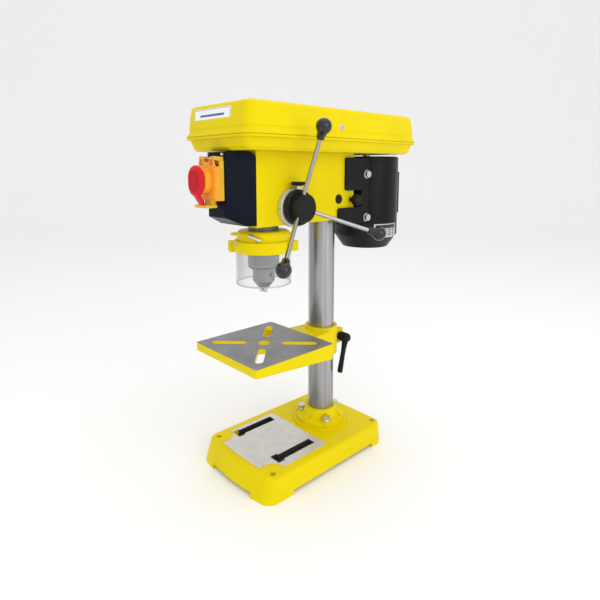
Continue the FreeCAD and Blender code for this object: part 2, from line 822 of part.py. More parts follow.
def makeHead():
    head = newBody("head_casting")
    fill(head, "XY", [box(-headHalf, headHalf, headFront, headRear)], headBottom, headTop)
    dress(head, "Fillet", headCorner, both(upright, lambda edge: edge.BoundBox.YMax > 0))
    inner = headHalf - headWall
    hollow = box(-inner, inner, headFront + headWall, headRear - headWall)
    cut(head, "XY", [hollow], headBottom + headFloor, headTop)
    bossTop = headTop - 3
    columnBoss = circle(0, columnBack, columnRadius + columnBossWall)
    fill(head, "XY", [columnBoss], headBottom, bossTop - 8)
    fill(head, "XY", [circle(0, spindleY, quillRadius + quillBossWall)], headBottom, bossTop)
    for side in (-1, 1):
        near = side * (headHalf - 1)
        far = side * (headHalf - 22)
        low, high = (near, far) if side < 0 else (far, near)
        fill(head, "YZ", [circle(pinionY, pinionHigh, feedBoss)], low, high)
        bar = circle(side * barSide, barHigh, barRadius + 3)
        fill(head, "XZ", [bar], columnBack - 4, headRear - 1)
    screwBoss = circle(columnBack, setScrewHigh, setScrew + 3)
    fill(head, "YZ", [screwBoss], columnRadius, headHalf - 1)

    cut(head, "XY", [circle(0, columnBack, columnRadius)], headBottom - 1, columnTop)
    cut(head, "XY", [circle(0, spindleY, quillRadius + slideGap)], headBottom - 1, headTop)
    cut(head, "XY", [circle(0, spindleY, sleeveBearing)], sleeveShaftLow - 1, headTop)
    shaft = circle(pinionY, pinionHigh, feedShaft + turnGap)
    cut(head, "YZ", [shaft], -headHalf - 1, headHalf + 1)
    room = circle(pinionY, pinionHigh, pinionPitch + gearModule + 1)
    reach = headHalf - 22
    cut(head, "YZ", [room], -reach, reach)
    for side in (-1, 1):
        bar = circle(side * barSide, barHigh, barRadius + slideGap)
        cut(head, "XZ", [bar], headRear - 52, headRear + 1)
    screw = circle(columnBack, setScrewHigh, setScrew)
    cut(head, "YZ", [screw], columnRadius - 2, headHalf + 1)
    stud = circle(headRear - 11, barHigh, tensionStud + turnGap)
    cut(head, "YZ", [stud], barSide, headHalf + 1)

    screws = newBody("column_set_screw", 0, columnBack, setScrewHigh)
    turned(screws, "X", ring(0, setScrew - seatGap / 2, columnRadius, headHalf - 1))
    cut(screws, "YZ", [circle(0, 0, setScrew - 3)], headHalf - 5, headHalf)


def makeFrontCover():
    cover = newBody("front_cover", 0, spindleY)
    rear = -headFrontReach
    nose = -coverReach
    half = headHalf
    plan = outline([(half, rear), (-half, rear), (-coverNose, nose), (coverNose, nose)])
    fill(cover, "XY", [plan], coverLow, coverHigh)
    wedge = outline([
        (nose - 1, coverLow - 1), (rear - 14, coverLow - 1),
        (rear - 14, coverLow + 0.6), (nose, coverNoseLow),
        (nose - 1, coverNoseLow),
    ])
    cut(cover, "YZ", [wedge], -half - 1, half + 1)
    forward = rear.value - 1
    dress(cover, "Fillet", 3, both(upright, lambda edge: edge.Length > 20 and edge.BoundBox.YMax < forward))
    turn = coverRound * 2 ** -0.5
    edge = rear - coverRound
    foot = coverHigh - coverRound
    corner = outline(
        [(rear + 1, foot), (rear + 1, coverHigh + 1), (edge, coverHigh + 1),
         (edge, coverHigh), (rear, foot)],
        {3: (coverRound, edge + turn, foot + turn)},
    )
    cut(cover, "YZ", [corner], -half - 1, half + 1)
    skin = coverSkin
    room = outline([
        (half - 2 * skin, rear), (-half + 2 * skin, rear),
        (-coverNose + skin, nose + skin), (coverNose - skin, nose + skin),
    ])
    cut(cover, "XY", [room], coverNoseLow + skin, coverHigh - skin)
    for spot in (-1, 1):
        hole = circle(0, paddleHigh + spot * buttonTall * 0.75, buttonHalf + 1)
        cut(cover, "XZ", [hole], nose - 1, nose + skin + 1)

    screws = []
    for number, side in enumerate((-1, 1)):
        screw = aim(
            primitive("Cylinder", f"coverScrew{number}", Radius=coverScrew, Height=2),
            side * (coverNose - 4), spindleY + nose, coverHigh - coverScrew - 1.4, (1, 0, 0), 90,
        )
        screws.append(screw)
    gathered("front_cover_screws", screws)


def makeSwitch():
    face = spindleY - coverReach
    front = face - switchDepth
    housing = newBody("switch_housing")
    fill(housing, "XZ", [box(-switchHalf, switchHalf, switchLow, switchHigh)], front, face)
    inner = switchHalf - 3
    cut(housing, "XZ", [box(-inner, inner, switchLow + 4, switchHigh - 4)], front, face - 2)
    hingeZ = switchHigh + switchHinge + 1.5
    lidMiddle = front - seatGap - lidDepth / 2
    for side in (-1, 1):
        outer = side * (switchHalf - 1)
        near = side * (switchHalf - 6)
        low, high = (outer, near) if side < 0 else (near, outer)
        ear = outline([
            (face, switchHigh - 4), (face, hingeZ + 2),
            (lidMiddle - 3, hingeZ + 3), (lidMiddle - 3, hingeZ - 3),
            (front, hingeZ - 3), (front, switchHigh - 4),
        ])
        fill(housing, "YZ", [ear], low, high)
    for number in (-1, 1):
        window = circle(0, paddleHigh + number * buttonTall * 0.75, buttonHalf + 1)
        cut(housing, "XZ", [window], front - 1, face + 1)
    cut(housing, "YZ", [circle(lidMiddle, hingeZ, switchHinge / 2 + turnGap)], -switchHalf, switchHalf)

    pinPiece = newBody("switch_hinge_pin", 0, lidMiddle, hingeZ)
    turned(pinPiece, "X", ring(0, switchHinge / 2, -switchHalf + 1, switchHalf - 1))

    cover = newBody("flip_cover")
    lidBack = front - seatGap
    lidFront = lidBack - lidDepth
    lidLow = switchLow - 10
    fill(cover, "XZ", [box(-lidHalf, lidHalf, lidLow, switchHigh - 1)], lidFront, lidBack)
    dress(cover, "Fillet", 2.2, lambda edge: abs(edge.BoundBox.YMax - lidFront.value) < 1e-3)
    knuckle = switchHalf - 6 - seatGap
    arm = outline([
        (lidBack, switchHigh - 6), (lidBack, hingeZ - 1), (lidMiddle, hingeZ + switchHinge),
        (lidFront + 1, hingeZ), (lidFront + 1, switchHigh - 6),
    ])
    fill(cover, "YZ", [arm], -knuckle, knuckle)
    hollow = lidHalf - 2
    cut(cover, "XZ", [box(-hollow, hollow, lidLow + 4, switchHigh - 7)], lidFront + lidSkin, lidBack)
    way = circle(0, paddleHigh - buttonTall * 0.75, paddleStem + turnGap * 2)
    cut(cover, "XZ", [way], lidFront - 1, lidBack)
    cut(cover, "YZ", [circle(lidMiddle, hingeZ, switchHinge / 2 + turnGap)], -switchHalf, switchHalf)
    gapHalf = 5
    cut(cover, "YZ", [box(lidFront - 1, lidBack + 1, hingeZ - 3.5, hingeZ + 6)], -gapHalf, gapHalf)

    buttonFront = front - 0.5
    for name, number in (("start_button", 1), ("stop_button", -1)):
        button = newBody(name)
        middle = paddleHigh + number * buttonTall * 0.75
        fill(button, "XZ", [circle(0, middle, buttonHalf)], buttonFront, face + 4)

    paddle = newBody("stop_paddle")
    back = lidFront - paddleStand
    fill(paddle, "XZ", [circle(0, paddleHigh - buttonTall * 0.75, paddleStem)], back, buttonFront - seatGap)
    side = paddleHalf
    straight = paddleTall / 2 - paddleHalf
    oval = outline(
        [(side, paddleHigh - straight), (side, paddleHigh + straight),
         (-side, paddleHigh + straight), (-side, paddleHigh - straight)],
        {1: (side, 0, paddleHigh + straight + side), 3: (side, 0, paddleHigh - straight - side)},
    )
    fill(paddle, "XZ", [oval], back - paddleThick, back)
    tongue = outline([
        (back, paddleHigh - paddleTall / 2 + 4), (back - paddleThick, paddleHigh - paddleTall / 2 + 4),
        (lidFront - 6, lidLow + 2), (lidFront - 3.5, lidLow + 2),
        (lidFront - 3.5, paddleHigh - paddleTall / 2),
    ])
    fill(paddle, "YZ", [tongue], -6, 6)


# ---- quill, spindle and chuck ----

def makeQuill():
    quill = newBody("quill", 0, spindleY)
    bore = quillBore
    seat = bearingRadius
    turned(quill, "Z", [
        (seat, collarLow), (collarRadius, collarLow), (collarRadius, headBottom - openGap),
        (quillRadius, headBottom - openGap), (quillRadius, quillTop), (seat, quillTop),
        (seat, quillTop - bearingHigh), (bore, quillTop - bearingHigh),
        (bore, collarLow + bearingHigh), (seat, collarLow + bearingHigh),
    ])
    pitch = 2 * pinionPitch * math.pi / pinionTeeth
    crest = rackPlane + gearModule * 0.8
    flat = quillRadius + 1
    rackLow = pinionHigh - pitch * 2
    rackHigh = pinionHigh + quillStroke + pitch * 3
    cut(quill, "YZ", [box(crest, flat, rackLow, rackHigh)], -rackHalf, rackHalf)
    root = rackPlane - gearModule * 1.25
    slope = tanOf(pressureAngle)
    half = pitch / 4
    wide = half + (crest + 0.2 - rackPlane) * slope
    narrow = half - (rackPlane - root) * slope
    count = round(((rackHigh - rackLow).value / pitch.value)) - 1
    for number in range(-1, count - 2):
        z = pinionHigh + number * pitch
        tooth = outline([
            (crest + 0.2, z - wide), (crest + 0.2, z + wide), (root, z + narrow), (root, z - narrow),
        ])
        cut(quill, "YZ", [tooth], -rackHalf, rackHalf)

    races = []
    for number, low in enumerate((collarLow, quillTop - bearingHigh)):
        outer = primitive("Cylinder", f"quillRace{number}", Radius=bearingRadius, Height=bearingHigh)
        inside = spindleRadius + turnGap
        hole = primitive("Cylinder", f"quillRaceBore{number}", Radius=inside, Height=bearingHigh + 2)
        aim(hole, z=-1)
        race = doc.addObject("Part::Cut", f"quillBearing{number}")
        race.Base = outer
        race.Tool = hole
        races.append(aim(race, 0, spindleY, low))
    gathered("quill_bearings", races)


def makeSpindle():
    spindle = newBody("spindle", 0, spindleY)
    low = collarLow - taperLength
    turned(spindle, "Z", [
        (0, low), (taperLow, low), (taperTop - 0.6, collarLow - 2), (taperTop - 0.6, collarLow - 1),
        (spindleRadius, collarLow - 1), (spindleRadius, spindleTop), (0, spindleTop),
    ])

    chuck = newBody("chuck_body", 0, spindleY)
    waist = sleeveLow - openGap / 2
    shoulder = sleeveHigh + seatGap
    turned(chuck, "Z", [
        (0, mouthLow), (chuckMouth, mouthLow), (chuckNose, noseLow), (chuckNose, waist), (chuckCore, waist),
        (chuckCore, shoulder), (chuckNeck, shoulder), (chuckNeck, chuckTop - 2), (chuckNeck - 2, chuckTop),
        (0, chuckTop),
    ])
    slope = (taperTop - 0.6 - taperLow) / (taperLength - 2)
    mouth = taperLow + slope * (chuckTop - low)
    taper = [(0, low - 1), (taperLow, low - 1), (taperLow, low), (mouth, chuckTop), (0, chuckTop)]
    turned(chuck, "Z", taper, cut=True)
    cut(chuck, "XY", [circle(0, 0, shankBore)], mouthLow - 1, low)
    way = lean(chuck, "Subtractive", jawRadius + slideGap, jawLength * 2, jawPlace(), jawTip - 5)
    around(chuck, [way], 3)
    keyHole = chuck.newObject("PartDesign::SubtractiveCylinder", "chuck_key_hole")
    keyHole.setExpression("Radius", "3")
    keyHole.setExpression("Height", chuckNose.text)
    aim(keyHole, 0, 0, noseLow + 11, (0, 1, 0), 90)
    chuck.Tip = keyHole
    around(chuck, [keyHole], 3)
    cut(chuck, "XY", [circle(0, 0, shankBore)], mouthLow - 1, low)


def jawPlace():
    """How far from the chuck's axis a jaw's own axis passes, a little below the jaw's tip."""
    return jawRadius - 5 * tanOf(jawLean)


def lean(body, kind, radius, length, x, z):
    """A round bar in the body, leaning outward towards X as it rises."""
    bar = body.newObject(f"PartDesign::{kind}Cylinder", f"{body.Name}_bar")
    bar.setExpression("Radius", radius.text)
    bar.setExpression("Height", asSize(length).text)
    aim(bar, x, 0, z, (0, 1, 0), jawLean)
    body.Tip = bar
    return bar


def makeChuck():
    sleeve = newBody("chuck_sleeve", 0, spindleY)
    inner = chuckCore + turnGap
    outer = sleeveRadius
    lip = chuckNose - 0.5
    turned(sleeve, "Z", [
        (lip, sleeveLow), (outer - 3.5, sleeveLow), (outer, sleeveLow + 3.5), (outer, sleeveHigh - 1),
        (outer - 1, sleeveHigh), (inner, sleeveHigh), (inner, sleeveHigh - 3), (sleeveRoom, sleeveHigh - 3),
        (sleeveRoom, sleeveLow + 5), (lip, sleeveLow + 5),
    ])
    notch = outline([
        (outer - 5, sleeveLow - 1), (outer + 1, sleeveLow - 1),
        (outer + 1, sleeveLow + 6), (outer - 2.6, sleeveLow + 2),
    ])
    tooth = cut(sleeve, "XZ", [notch], -1.4, 1.4)
    around(sleeve, [tooth], sleeveTeeth)
    flute = cut(sleeve, "XY", [circle(outer + 0.4, 0, 1.2)], sleeveLow + 9, sleeveHigh + 1)
    around(sleeve, [flute], sleeveTeeth * 2)

    for number in range(3):
        jaw = newBody(f"chuck_jaw_{number + 1}", 0, spindleY)
        turn = FreeCAD.Rotation(FreeCAD.Vector(0, 0, 1), 120 * number)
        jaw.Placement = FreeCAD.Placement(jaw.Placement.Base, turn)
        lean(jaw, "Additive", jawRadius, jawLength, jawPlace() + 5 * tanOf(jawLean), jawTip)
        crown = jawRadius * 4
        spread = tanOf(60)
        outside = outline([
            (slideGap * 2, 0), (crown, (crown - slideGap * 2) * spread),
            (-crown, (crown - slideGap * 2) * spread),
            (-crown, -(crown - slideGap * 2) * spread), (crown, -(crown - slideGap * 2) * spread),
        ])
        cut(jaw, "XY", [outside], jawTip - 5, jawTip + jawLength + 5)


# ---- chuck guard ----

def makeGuard():
    clamp = newBody("guard_clamp", 0, spindleY)
    plateLow = guardTop - guardPlate
    turned(clamp, "Z", [
        (collarRadius, plateLow - 3), (collarRadius + 4, plateLow - 3), (collarRadius + 6, plateLow),
        (guardRadius - guardSkirt, plateLow), (guardRadius - guardSkirt, guardSkirtLow),
        (guardRadius, guardSkirtLow), (guardRadius, guardTop - 3), (guardRadius - 3, guardTop),
        (collarRadius, guardTop),
    ])
    groove = guardRingHigh - 5
    turned(clamp, "Z", ring(guardRadius - 1.4, guardRadius + 1, groove - 1.6, groove + 1.6), cut=True)

    turn = newBody("guard_ring", 0, spindleY)
    running = guardRadius + seatGap
    seat = shieldRadius + seatGap
    turned(turn, "Z", [
        (seat, guardRingLow), (guardRing - 0.6, guardRingLow), (guardRing, guardRingLow + 1),
        (guardRing, guardRingHigh - 1), (guardRing - 1, guardRingHigh), (running, guardRingHigh),
        (running, guardSkirtLow - 1), (seat, guardSkirtLow - 1),
    ])
    for side in (-1, 1):
        near = side * (guardRing - 1.5)
        far = side * guardTab
        low, high = (far, near) if side < 0 else (near, far)
        fill(turn, "XY", [box(low, high, -5, 5)], guardRingLow + 2, guardRingHigh - 2)
    turn.Placement = FreeCAD.Placement(turn.Placement.Base, FreeCAD.Rotation(FreeCAD.Vector(0, 0, 1), 47))

    shield = newBody("guard_shield", 0, spindleY)
    turned(shield, "Z", ring(shieldRadius - shieldWall, shieldRadius, shieldLow, guardSkirtLow - 1))
    window = shieldRadius * 0.62
    low = shieldLow + 14
    cut(shield, "XZ", [box(-window, window, low, guardRingLow - 4)], 0, shieldRadius + 1)

    screws = []
    for number in range(3):
        angle = 15 + 120 * number
        screw = newHiddenBody(f"guardScrew{number}")
        turned(screw, "X", [
            (0, guardRadius - 1.2), (1.2, guardRadius - 1.2), (1.2, guardRing), (2.6, guardRing),
            (2.6, guardRing + 1.6), (0, guardRing + 1.6),
        ])
        screw.Placement = FreeCAD.Placement(
            FreeCAD.Vector(0, spindleY.value, groove.value), FreeCAD.Rotation(FreeCAD.Vector(0, 0, 1), angle)
        )
        screw.setExpression("Placement.Base.y", spindleY.text)
        screw.setExpression("Placement.Base.z", groove.text)
        screws.append(screw)
    gathered("guard_screws", screws)
    for number in range(3):
        hole = turn.newObject("PartDesign::SubtractiveCylinder", f"guardScrewHole{number}")
        hole.setExpression("Radius", "1.2")
        hole.setExpression("Height", (guardRing + 1).text)
        swing = FreeCAD.Rotation(FreeCAD.Vector(0, 0, 1), 15 + 120 * number - 47)
        tilt = FreeCAD.Rotation(FreeCAD.Vector(0, 1, 0), 90)
        hole.Placement = FreeCAD.Placement(FreeCAD.Vector(0, 0, 0), swing.multiply(tilt))
        hole.setExpression("Placement.Base.z", groove.text)
        turn.Tip = hole


def newHiddenBody(name):
    """A body that is only a member of a group, so it makes no node of its own."""
    body = newBody(name)
    pieces.remove(body)
    return body


def pinionShape():
    """The pinion's outline: involute flanks from the base circle up, with a radial root."""
    teeth = int(pinionTeeth.value)
    module = gearModule.value
    pitch = module * teeth / 2
    angle = math.radians(pressureAngle.value)
    baseCircle = pitch * math.cos(angle)
    tip = pitch + module
    root = pitch - 1.25 * module
    halfTooth = (math.pi * module / 2 - backlash.value) / (2 * pitch)
    involute = math.tan(angle) - angle

    def flank(radius):
        turn = math.acos(min(1, baseCircle / radius))
        return halfTooth + involute - (math.tan(turn) - turn)

    steps = 6
    rise = [baseCircle + (tip - baseCircle) * k / steps for k in range(steps + 1)]
    half = [(root, flank(baseCircle))] + [(r, flank(r)) for r in rise]
    points = []
    for number in range(teeth):
        middle = 2 * math.pi * number / teeth + math.pi
        side = [(r, middle - a) for r, a in half] + [(r, middle + a) for r, a in reversed(half)]
        points += [FreeCAD.Vector(0, r * math.cos(a), r * math.sin(a)) for r, a in side]
    return Part.makePolygon(points + [points[0]])


# ---- feed ----

def makeFeed():
    shaft = newBody("pinion_shaft", 0, pinionY, pinionHigh)
    end = headHalf + springDepth + 6
    turned(shaft, "X", ring(0, feedShaft, -end, hubFront - 8))
    gear = doc.addObject("Part::Feature", "pinion_gear")
    teeth = Part.Face(pinionShape()).extrude(FreeCAD.Vector(2 * pinionHalf.value, 0, 0))
    gear.Shape = teeth
    gear.Placement.Base = FreeCAD.Vector(-pinionHalf.value, pinionY.value, pinionHigh.value)
    pieces.remove(shaft)
    joined = merged("pinion_shaft_whole", [shaft, gear])
    joined.Label = "pinion"
    pieces.append(joined)

    hub = newBody("feed_hub", 0, pinionY, pinionHigh)
    start = headHalf + seatGap + ringThick + seatGap
    turned(hub, "X", [
        (feedShaft, start), (hubRadius, start),
        (hubRadius, start + hubDisc), (hubRadius - 1.5, start + hubDisc + 1.5),
        (hubNose, start + hubDisc + 1.5), (hubNose, hubFront - 3), (hubNose - 3, hubFront), (0, hubFront),
        (0, hubFront - 8), (feedShaft, hubFront - 8),
    ])

    dial = newBody("depth_ring", 0, pinionY, pinionHigh)
    turned(dial, "X", [
        (feedShaft + turnGap, headHalf + seatGap), (ringRadius - 1, headHalf + seatGap),
        (ringRadius, headHalf + seatGap + 1), (ringRadius, headHalf + ringThick + seatGap - 1),
        (ringRadius - 1, headHalf + ringThick + seatGap),
        (feedShaft + turnGap, headHalf + ringThick + seatGap),
    ])
    face = headHalf + ringThick
    mark = cut(dial, "XZ", [box(face - 2, face + 1, ringRadius - 0.4, ringRadius + 1)], -0.2, 0.2)
    around(dial, [mark], 40, "X")

    cut(hub, "XY", [circle(start + hubDisc / 2, 0, ringScrew)], hubRadius - 9, hubRadius + 1)
    knob = newBody("ring_lock_knob", start + hubDisc / 2, pinionY, pinionHigh)
    foot = hubRadius + ringScrewStem
    crown = foot + 1 + ringKnobThick
    stem = ringScrew - turnGap
    turned(knob, "Z", [
        (0, hubRadius - 9), (stem, hubRadius - 9), (stem, foot), (6, foot), (ringKnob - 1, foot + 1),
        (ringKnob, foot + 2), (ringKnob, crown - 1), (ringKnob - 1, crown), (0, crown),
    ])
    scallop = cut(knob, "XY", [circle(ringKnob + 1.5, 0, 3)], foot - 1, crown + 1)
    around(knob, [scallop], 6)

    rods = []
    knobs = []
    rootX = (start + hubDisc + hubFront) / 2
    rise = tanOf(rodLean)
    length = (knobReach - rodRoot) / cosOf(rodLean)
    for number in range(3):
        turn = feedAngle + 120 * number - 90
        rod = newHiddenBody(f"feedRod{number}")
        bar = rod.newObject("PartDesign::AdditiveCylinder", f"feedRodBar{number}")
        bar.setExpression("Radius", rodRadius.text)
        bar.setExpression("Height", (length - knobRadius + 3).text)
        aim(bar, rootX, 0, rodRoot, (0, 1, 0), rodLean)
        rod.Tip = bar
        ball = newHiddenBody(f"feedKnob{number}")
        neck = knobNeck
        seat = rootOf(knobRadius * knobRadius - neck * neck)
        away = knobRadius + 8
        turned(ball, "Z", [
            (rodRadius, -away), (neck, -away), (neck, -seat), (0, knobRadius), (0, 3 - knobRadius),
            (rodRadius, 3 - knobRadius),
        ], {2: (knobRadius, knobRadius, 0)})
        knobX = rootX + (knobReach - rodRoot) * rise
        for piece, x, z, tilt in ((rod, 0, 0, 0), (ball, knobX, knobReach, rodLean)):
            spin = FreeCAD.Rotation(FreeCAD.Vector(1, 0, 0), turn.value)
            own = FreeCAD.Rotation(FreeCAD.Vector(0, 1, 0), asSize(tilt).value)
            piece.Placement = FreeCAD.Placement(FreeCAD.Vector(0, 0, 0), spin.multiply(own))
            piece.setExpression("Placement.Base.x", asSize(x).text)
            piece.setExpression("Placement.Base.y", (pinionY - z * sinOf(turn)).text)
            piece.setExpression("Placement.Base.z", (pinionHigh + z * cosOf(turn)).text)
        rods.append(rod)
        knobs.append(ball)
        hole = hub.newObject("PartDesign::SubtractiveCylinder", f"rodHole{number}")
        hole.setExpression("Radius", rodRadius.text)
        hole.setExpression("Height", length.text)
        tilt = FreeCAD.Rotation(FreeCAD.Vector(0, 1, 0), rodLean.value)
        hole.Placement = FreeCAD.Placement(
            FreeCAD.Vector(0, 0, 0), FreeCAD.Rotation(FreeCAD.Vector(1, 0, 0), turn.value).multiply(tilt)
        )
        hole.setExpression("Placement.Base.x", rootX.text)
        hole.setExpression("Placement.Base.y", (-rodRoot * sinOf(turn)).text)
        hole.setExpression("Placement.Base.z", (rodRoot * cosOf(turn)).text)
        hub.Tip = hole
    gathered("feed_rods", rods)
    gathered("feed_knobs", knobs)

    cap = newBody("spring_housing", 0, pinionY, pinionHigh)
    far = -headHalf - springDepth
    turned(cap, "X", [
        (feedShaft + turnGap, far), (springRadius - 2, far),
        (springRadius, far + 2), (springRadius, -headHalf),
        (springRadius - 3, -headHalf), (springRadius - 3, far + 3), (feedShaft + turnGap, far + 3),
    ])
    nut = newBody("spring_nut", 0, pinionY, pinionHigh)
    turned(nut, "X", [
        (feedShaft, far - 5.5), (10, far - 5.5), (11, far - 4.5),
        (11, far - seatGap), (feedShaft, far - seatGap),
    ])
    makeSpring(far)


def makeSpring(far):
    """The flat return spring: a spiral strip about the pinion shaft, inside its housing."""
    turns = 5
    inner = feedShaft.value + 1.0
    outer = springRadius.value - 3 - 0.6
    strip = 0.8
    width = springDepth.value - 6
    steps = turns * 24
    edge = []
    for side in (strip / 2, -strip / 2):
        line = []
        for number in range(steps + 1):
            angle = 2 * math.pi * turns * number / steps
            radius = inner + (outer - inner - strip / 2) * number / steps + side
            line.append(FreeCAD.Vector(0, radius * math.cos(angle), radius * math.sin(angle)))
        edge.append(line)
    loop = edge[0] + edge[1][::-1]
    shape = Part.Face(Part.makePolygon(loop + [loop[0]])).extrude(FreeCAD.Vector(width, 0, 0))
    spring = doc.addObject("Part::Feature", "return_spring")
    spring.Label = "return_spring"
    spring.Shape = shape
    spring.Placement.Base = FreeCAD.Vector(far.value + 4, pinionY.value, pinionHigh.value)
    pieces.append(spring)


# ---- belt drive ----

def pulley(body, radii, bore, low):
    """A step pulley: one V groove to a radius, from the bottom up."""
    profile = [(bore, low)]
    for number, radius in enumerate(radii):
        floor = low + number * groovePitch
        middle = floor + groovePitch / 2
        lip = beltWide / 2 + 1.2
        profile += [
            (radius + beltThick / 2 + 0.6, floor), (radius + beltThick / 2 + 0.6, middle - lip),
            (radius - grooveDeep, middle - lip + 1.9), (radius - grooveDeep, middle + lip - 1.9),
            (radius + beltThick / 2 + 0.6, middle + lip),
            (radius + beltThick / 2 + 0.6, floor + groovePitch),
        ]
    top = low + len(radii) * groovePitch
    profile += [(bore + 4, top), (bore + 4, top + 1), (bore, top + 1)]
    turned(body, "Z", profile)


def makeDrive():
    spindleRadii = [pulleySmall + pulleyStep * k for k in (4, 3, 2, 1, 0)]
    motorRadii = [pulleySum - radius for radius in spindleRadii]
    driveTop = lidTop - 5

    sleeve = newBody("drive_sleeve", 0, spindleY)
    bore = spindleRadius + slideGap
    stop = sleeveShaftLow + bearingHigh + seatGap
    turned(sleeve, "Z", [
        (bore, sleeveShaftLow), (sleeveShaft, sleeveShaftLow), (sleeveShaft, stop), (sleeveShaft + 3, stop),
        (sleeveShaft + 3, pulleyLow), (sleeveShaft, pulleyLow), (sleeveShaft, driveTop), (bore, driveTop),
    ])
    bearing = newBody("sleeve_bearing", 0, spindleY)
    top = sleeveShaftLow + bearingHigh
    turned(bearing, "Z", ring(sleeveShaft + turnGap, sleeveBearing, sleeveShaftLow, top))
    spindlePulley = newBody("spindle_pulley", 0, spindleY)
    pulley(spindlePulley, spindleRadii, sleeveShaft, pulleyLow)

    motorPulley = newBody("motor_pulley", 0, motorY)
    pulley(motorPulley, motorRadii, motorShaft, pulleyLow)

    belt = newBody("v_belt", 0, spindleY)
    large = spindleRadii[2]
    small = motorRadii[2]
    apart = throat + motorBack
    tilt = (large - small) / apart
    lie = rootOf(1 - tilt * tilt)
    middle = pulleyLow + 2.5 * groovePitch

    def loop(offset):
        big = large + offset
        little = small + offset
        corners = [
            (big * lie, big * tilt), (little * lie, apart + little * tilt),
            (-little * lie, apart + little * tilt), (-big * lie, big * tilt),
        ]
        return outline(corners, {1: (little, 0, apart + little), 3: (big, 0, -big)})

    half = beltThick / 2
    fill(belt, "XY", [loop(half), loop(-half)], middle - beltWide / 2, middle + beltWide / 2)
    inside = large.value - half.value

    def innerEdge(edge):
        b = edge.BoundBox
        level = min(abs(b.ZMin - (middle - beltWide / 2).value), abs(b.ZMax - (middle + beltWide / 2).value))
        point = edge.valueAt((edge.FirstParameter + edge.LastParameter) / 2)
        if point.y < 0:
            near = math.hypot(point.x, point.y) < inside + 0.01
        elif point.y > apart.value:
            near = math.hypot(point.x, point.y - apart.value) < small.value - half.value + 0.01
        else:
            near = abs(point.x) < inside - (large - small).value * point.y / apart.value + 0.5
        return level < 1e-3 and abs(b.ZMax - b.ZMin) < 1e-3 and near

    dress(belt, "Chamfer", 1.6, innerEdge)


# ---- belt cover ----

def coverPlan(inset):
    return plan(rimHalf - inset, -rimFront + inset, rimRear - inset, rimCorner - inset)


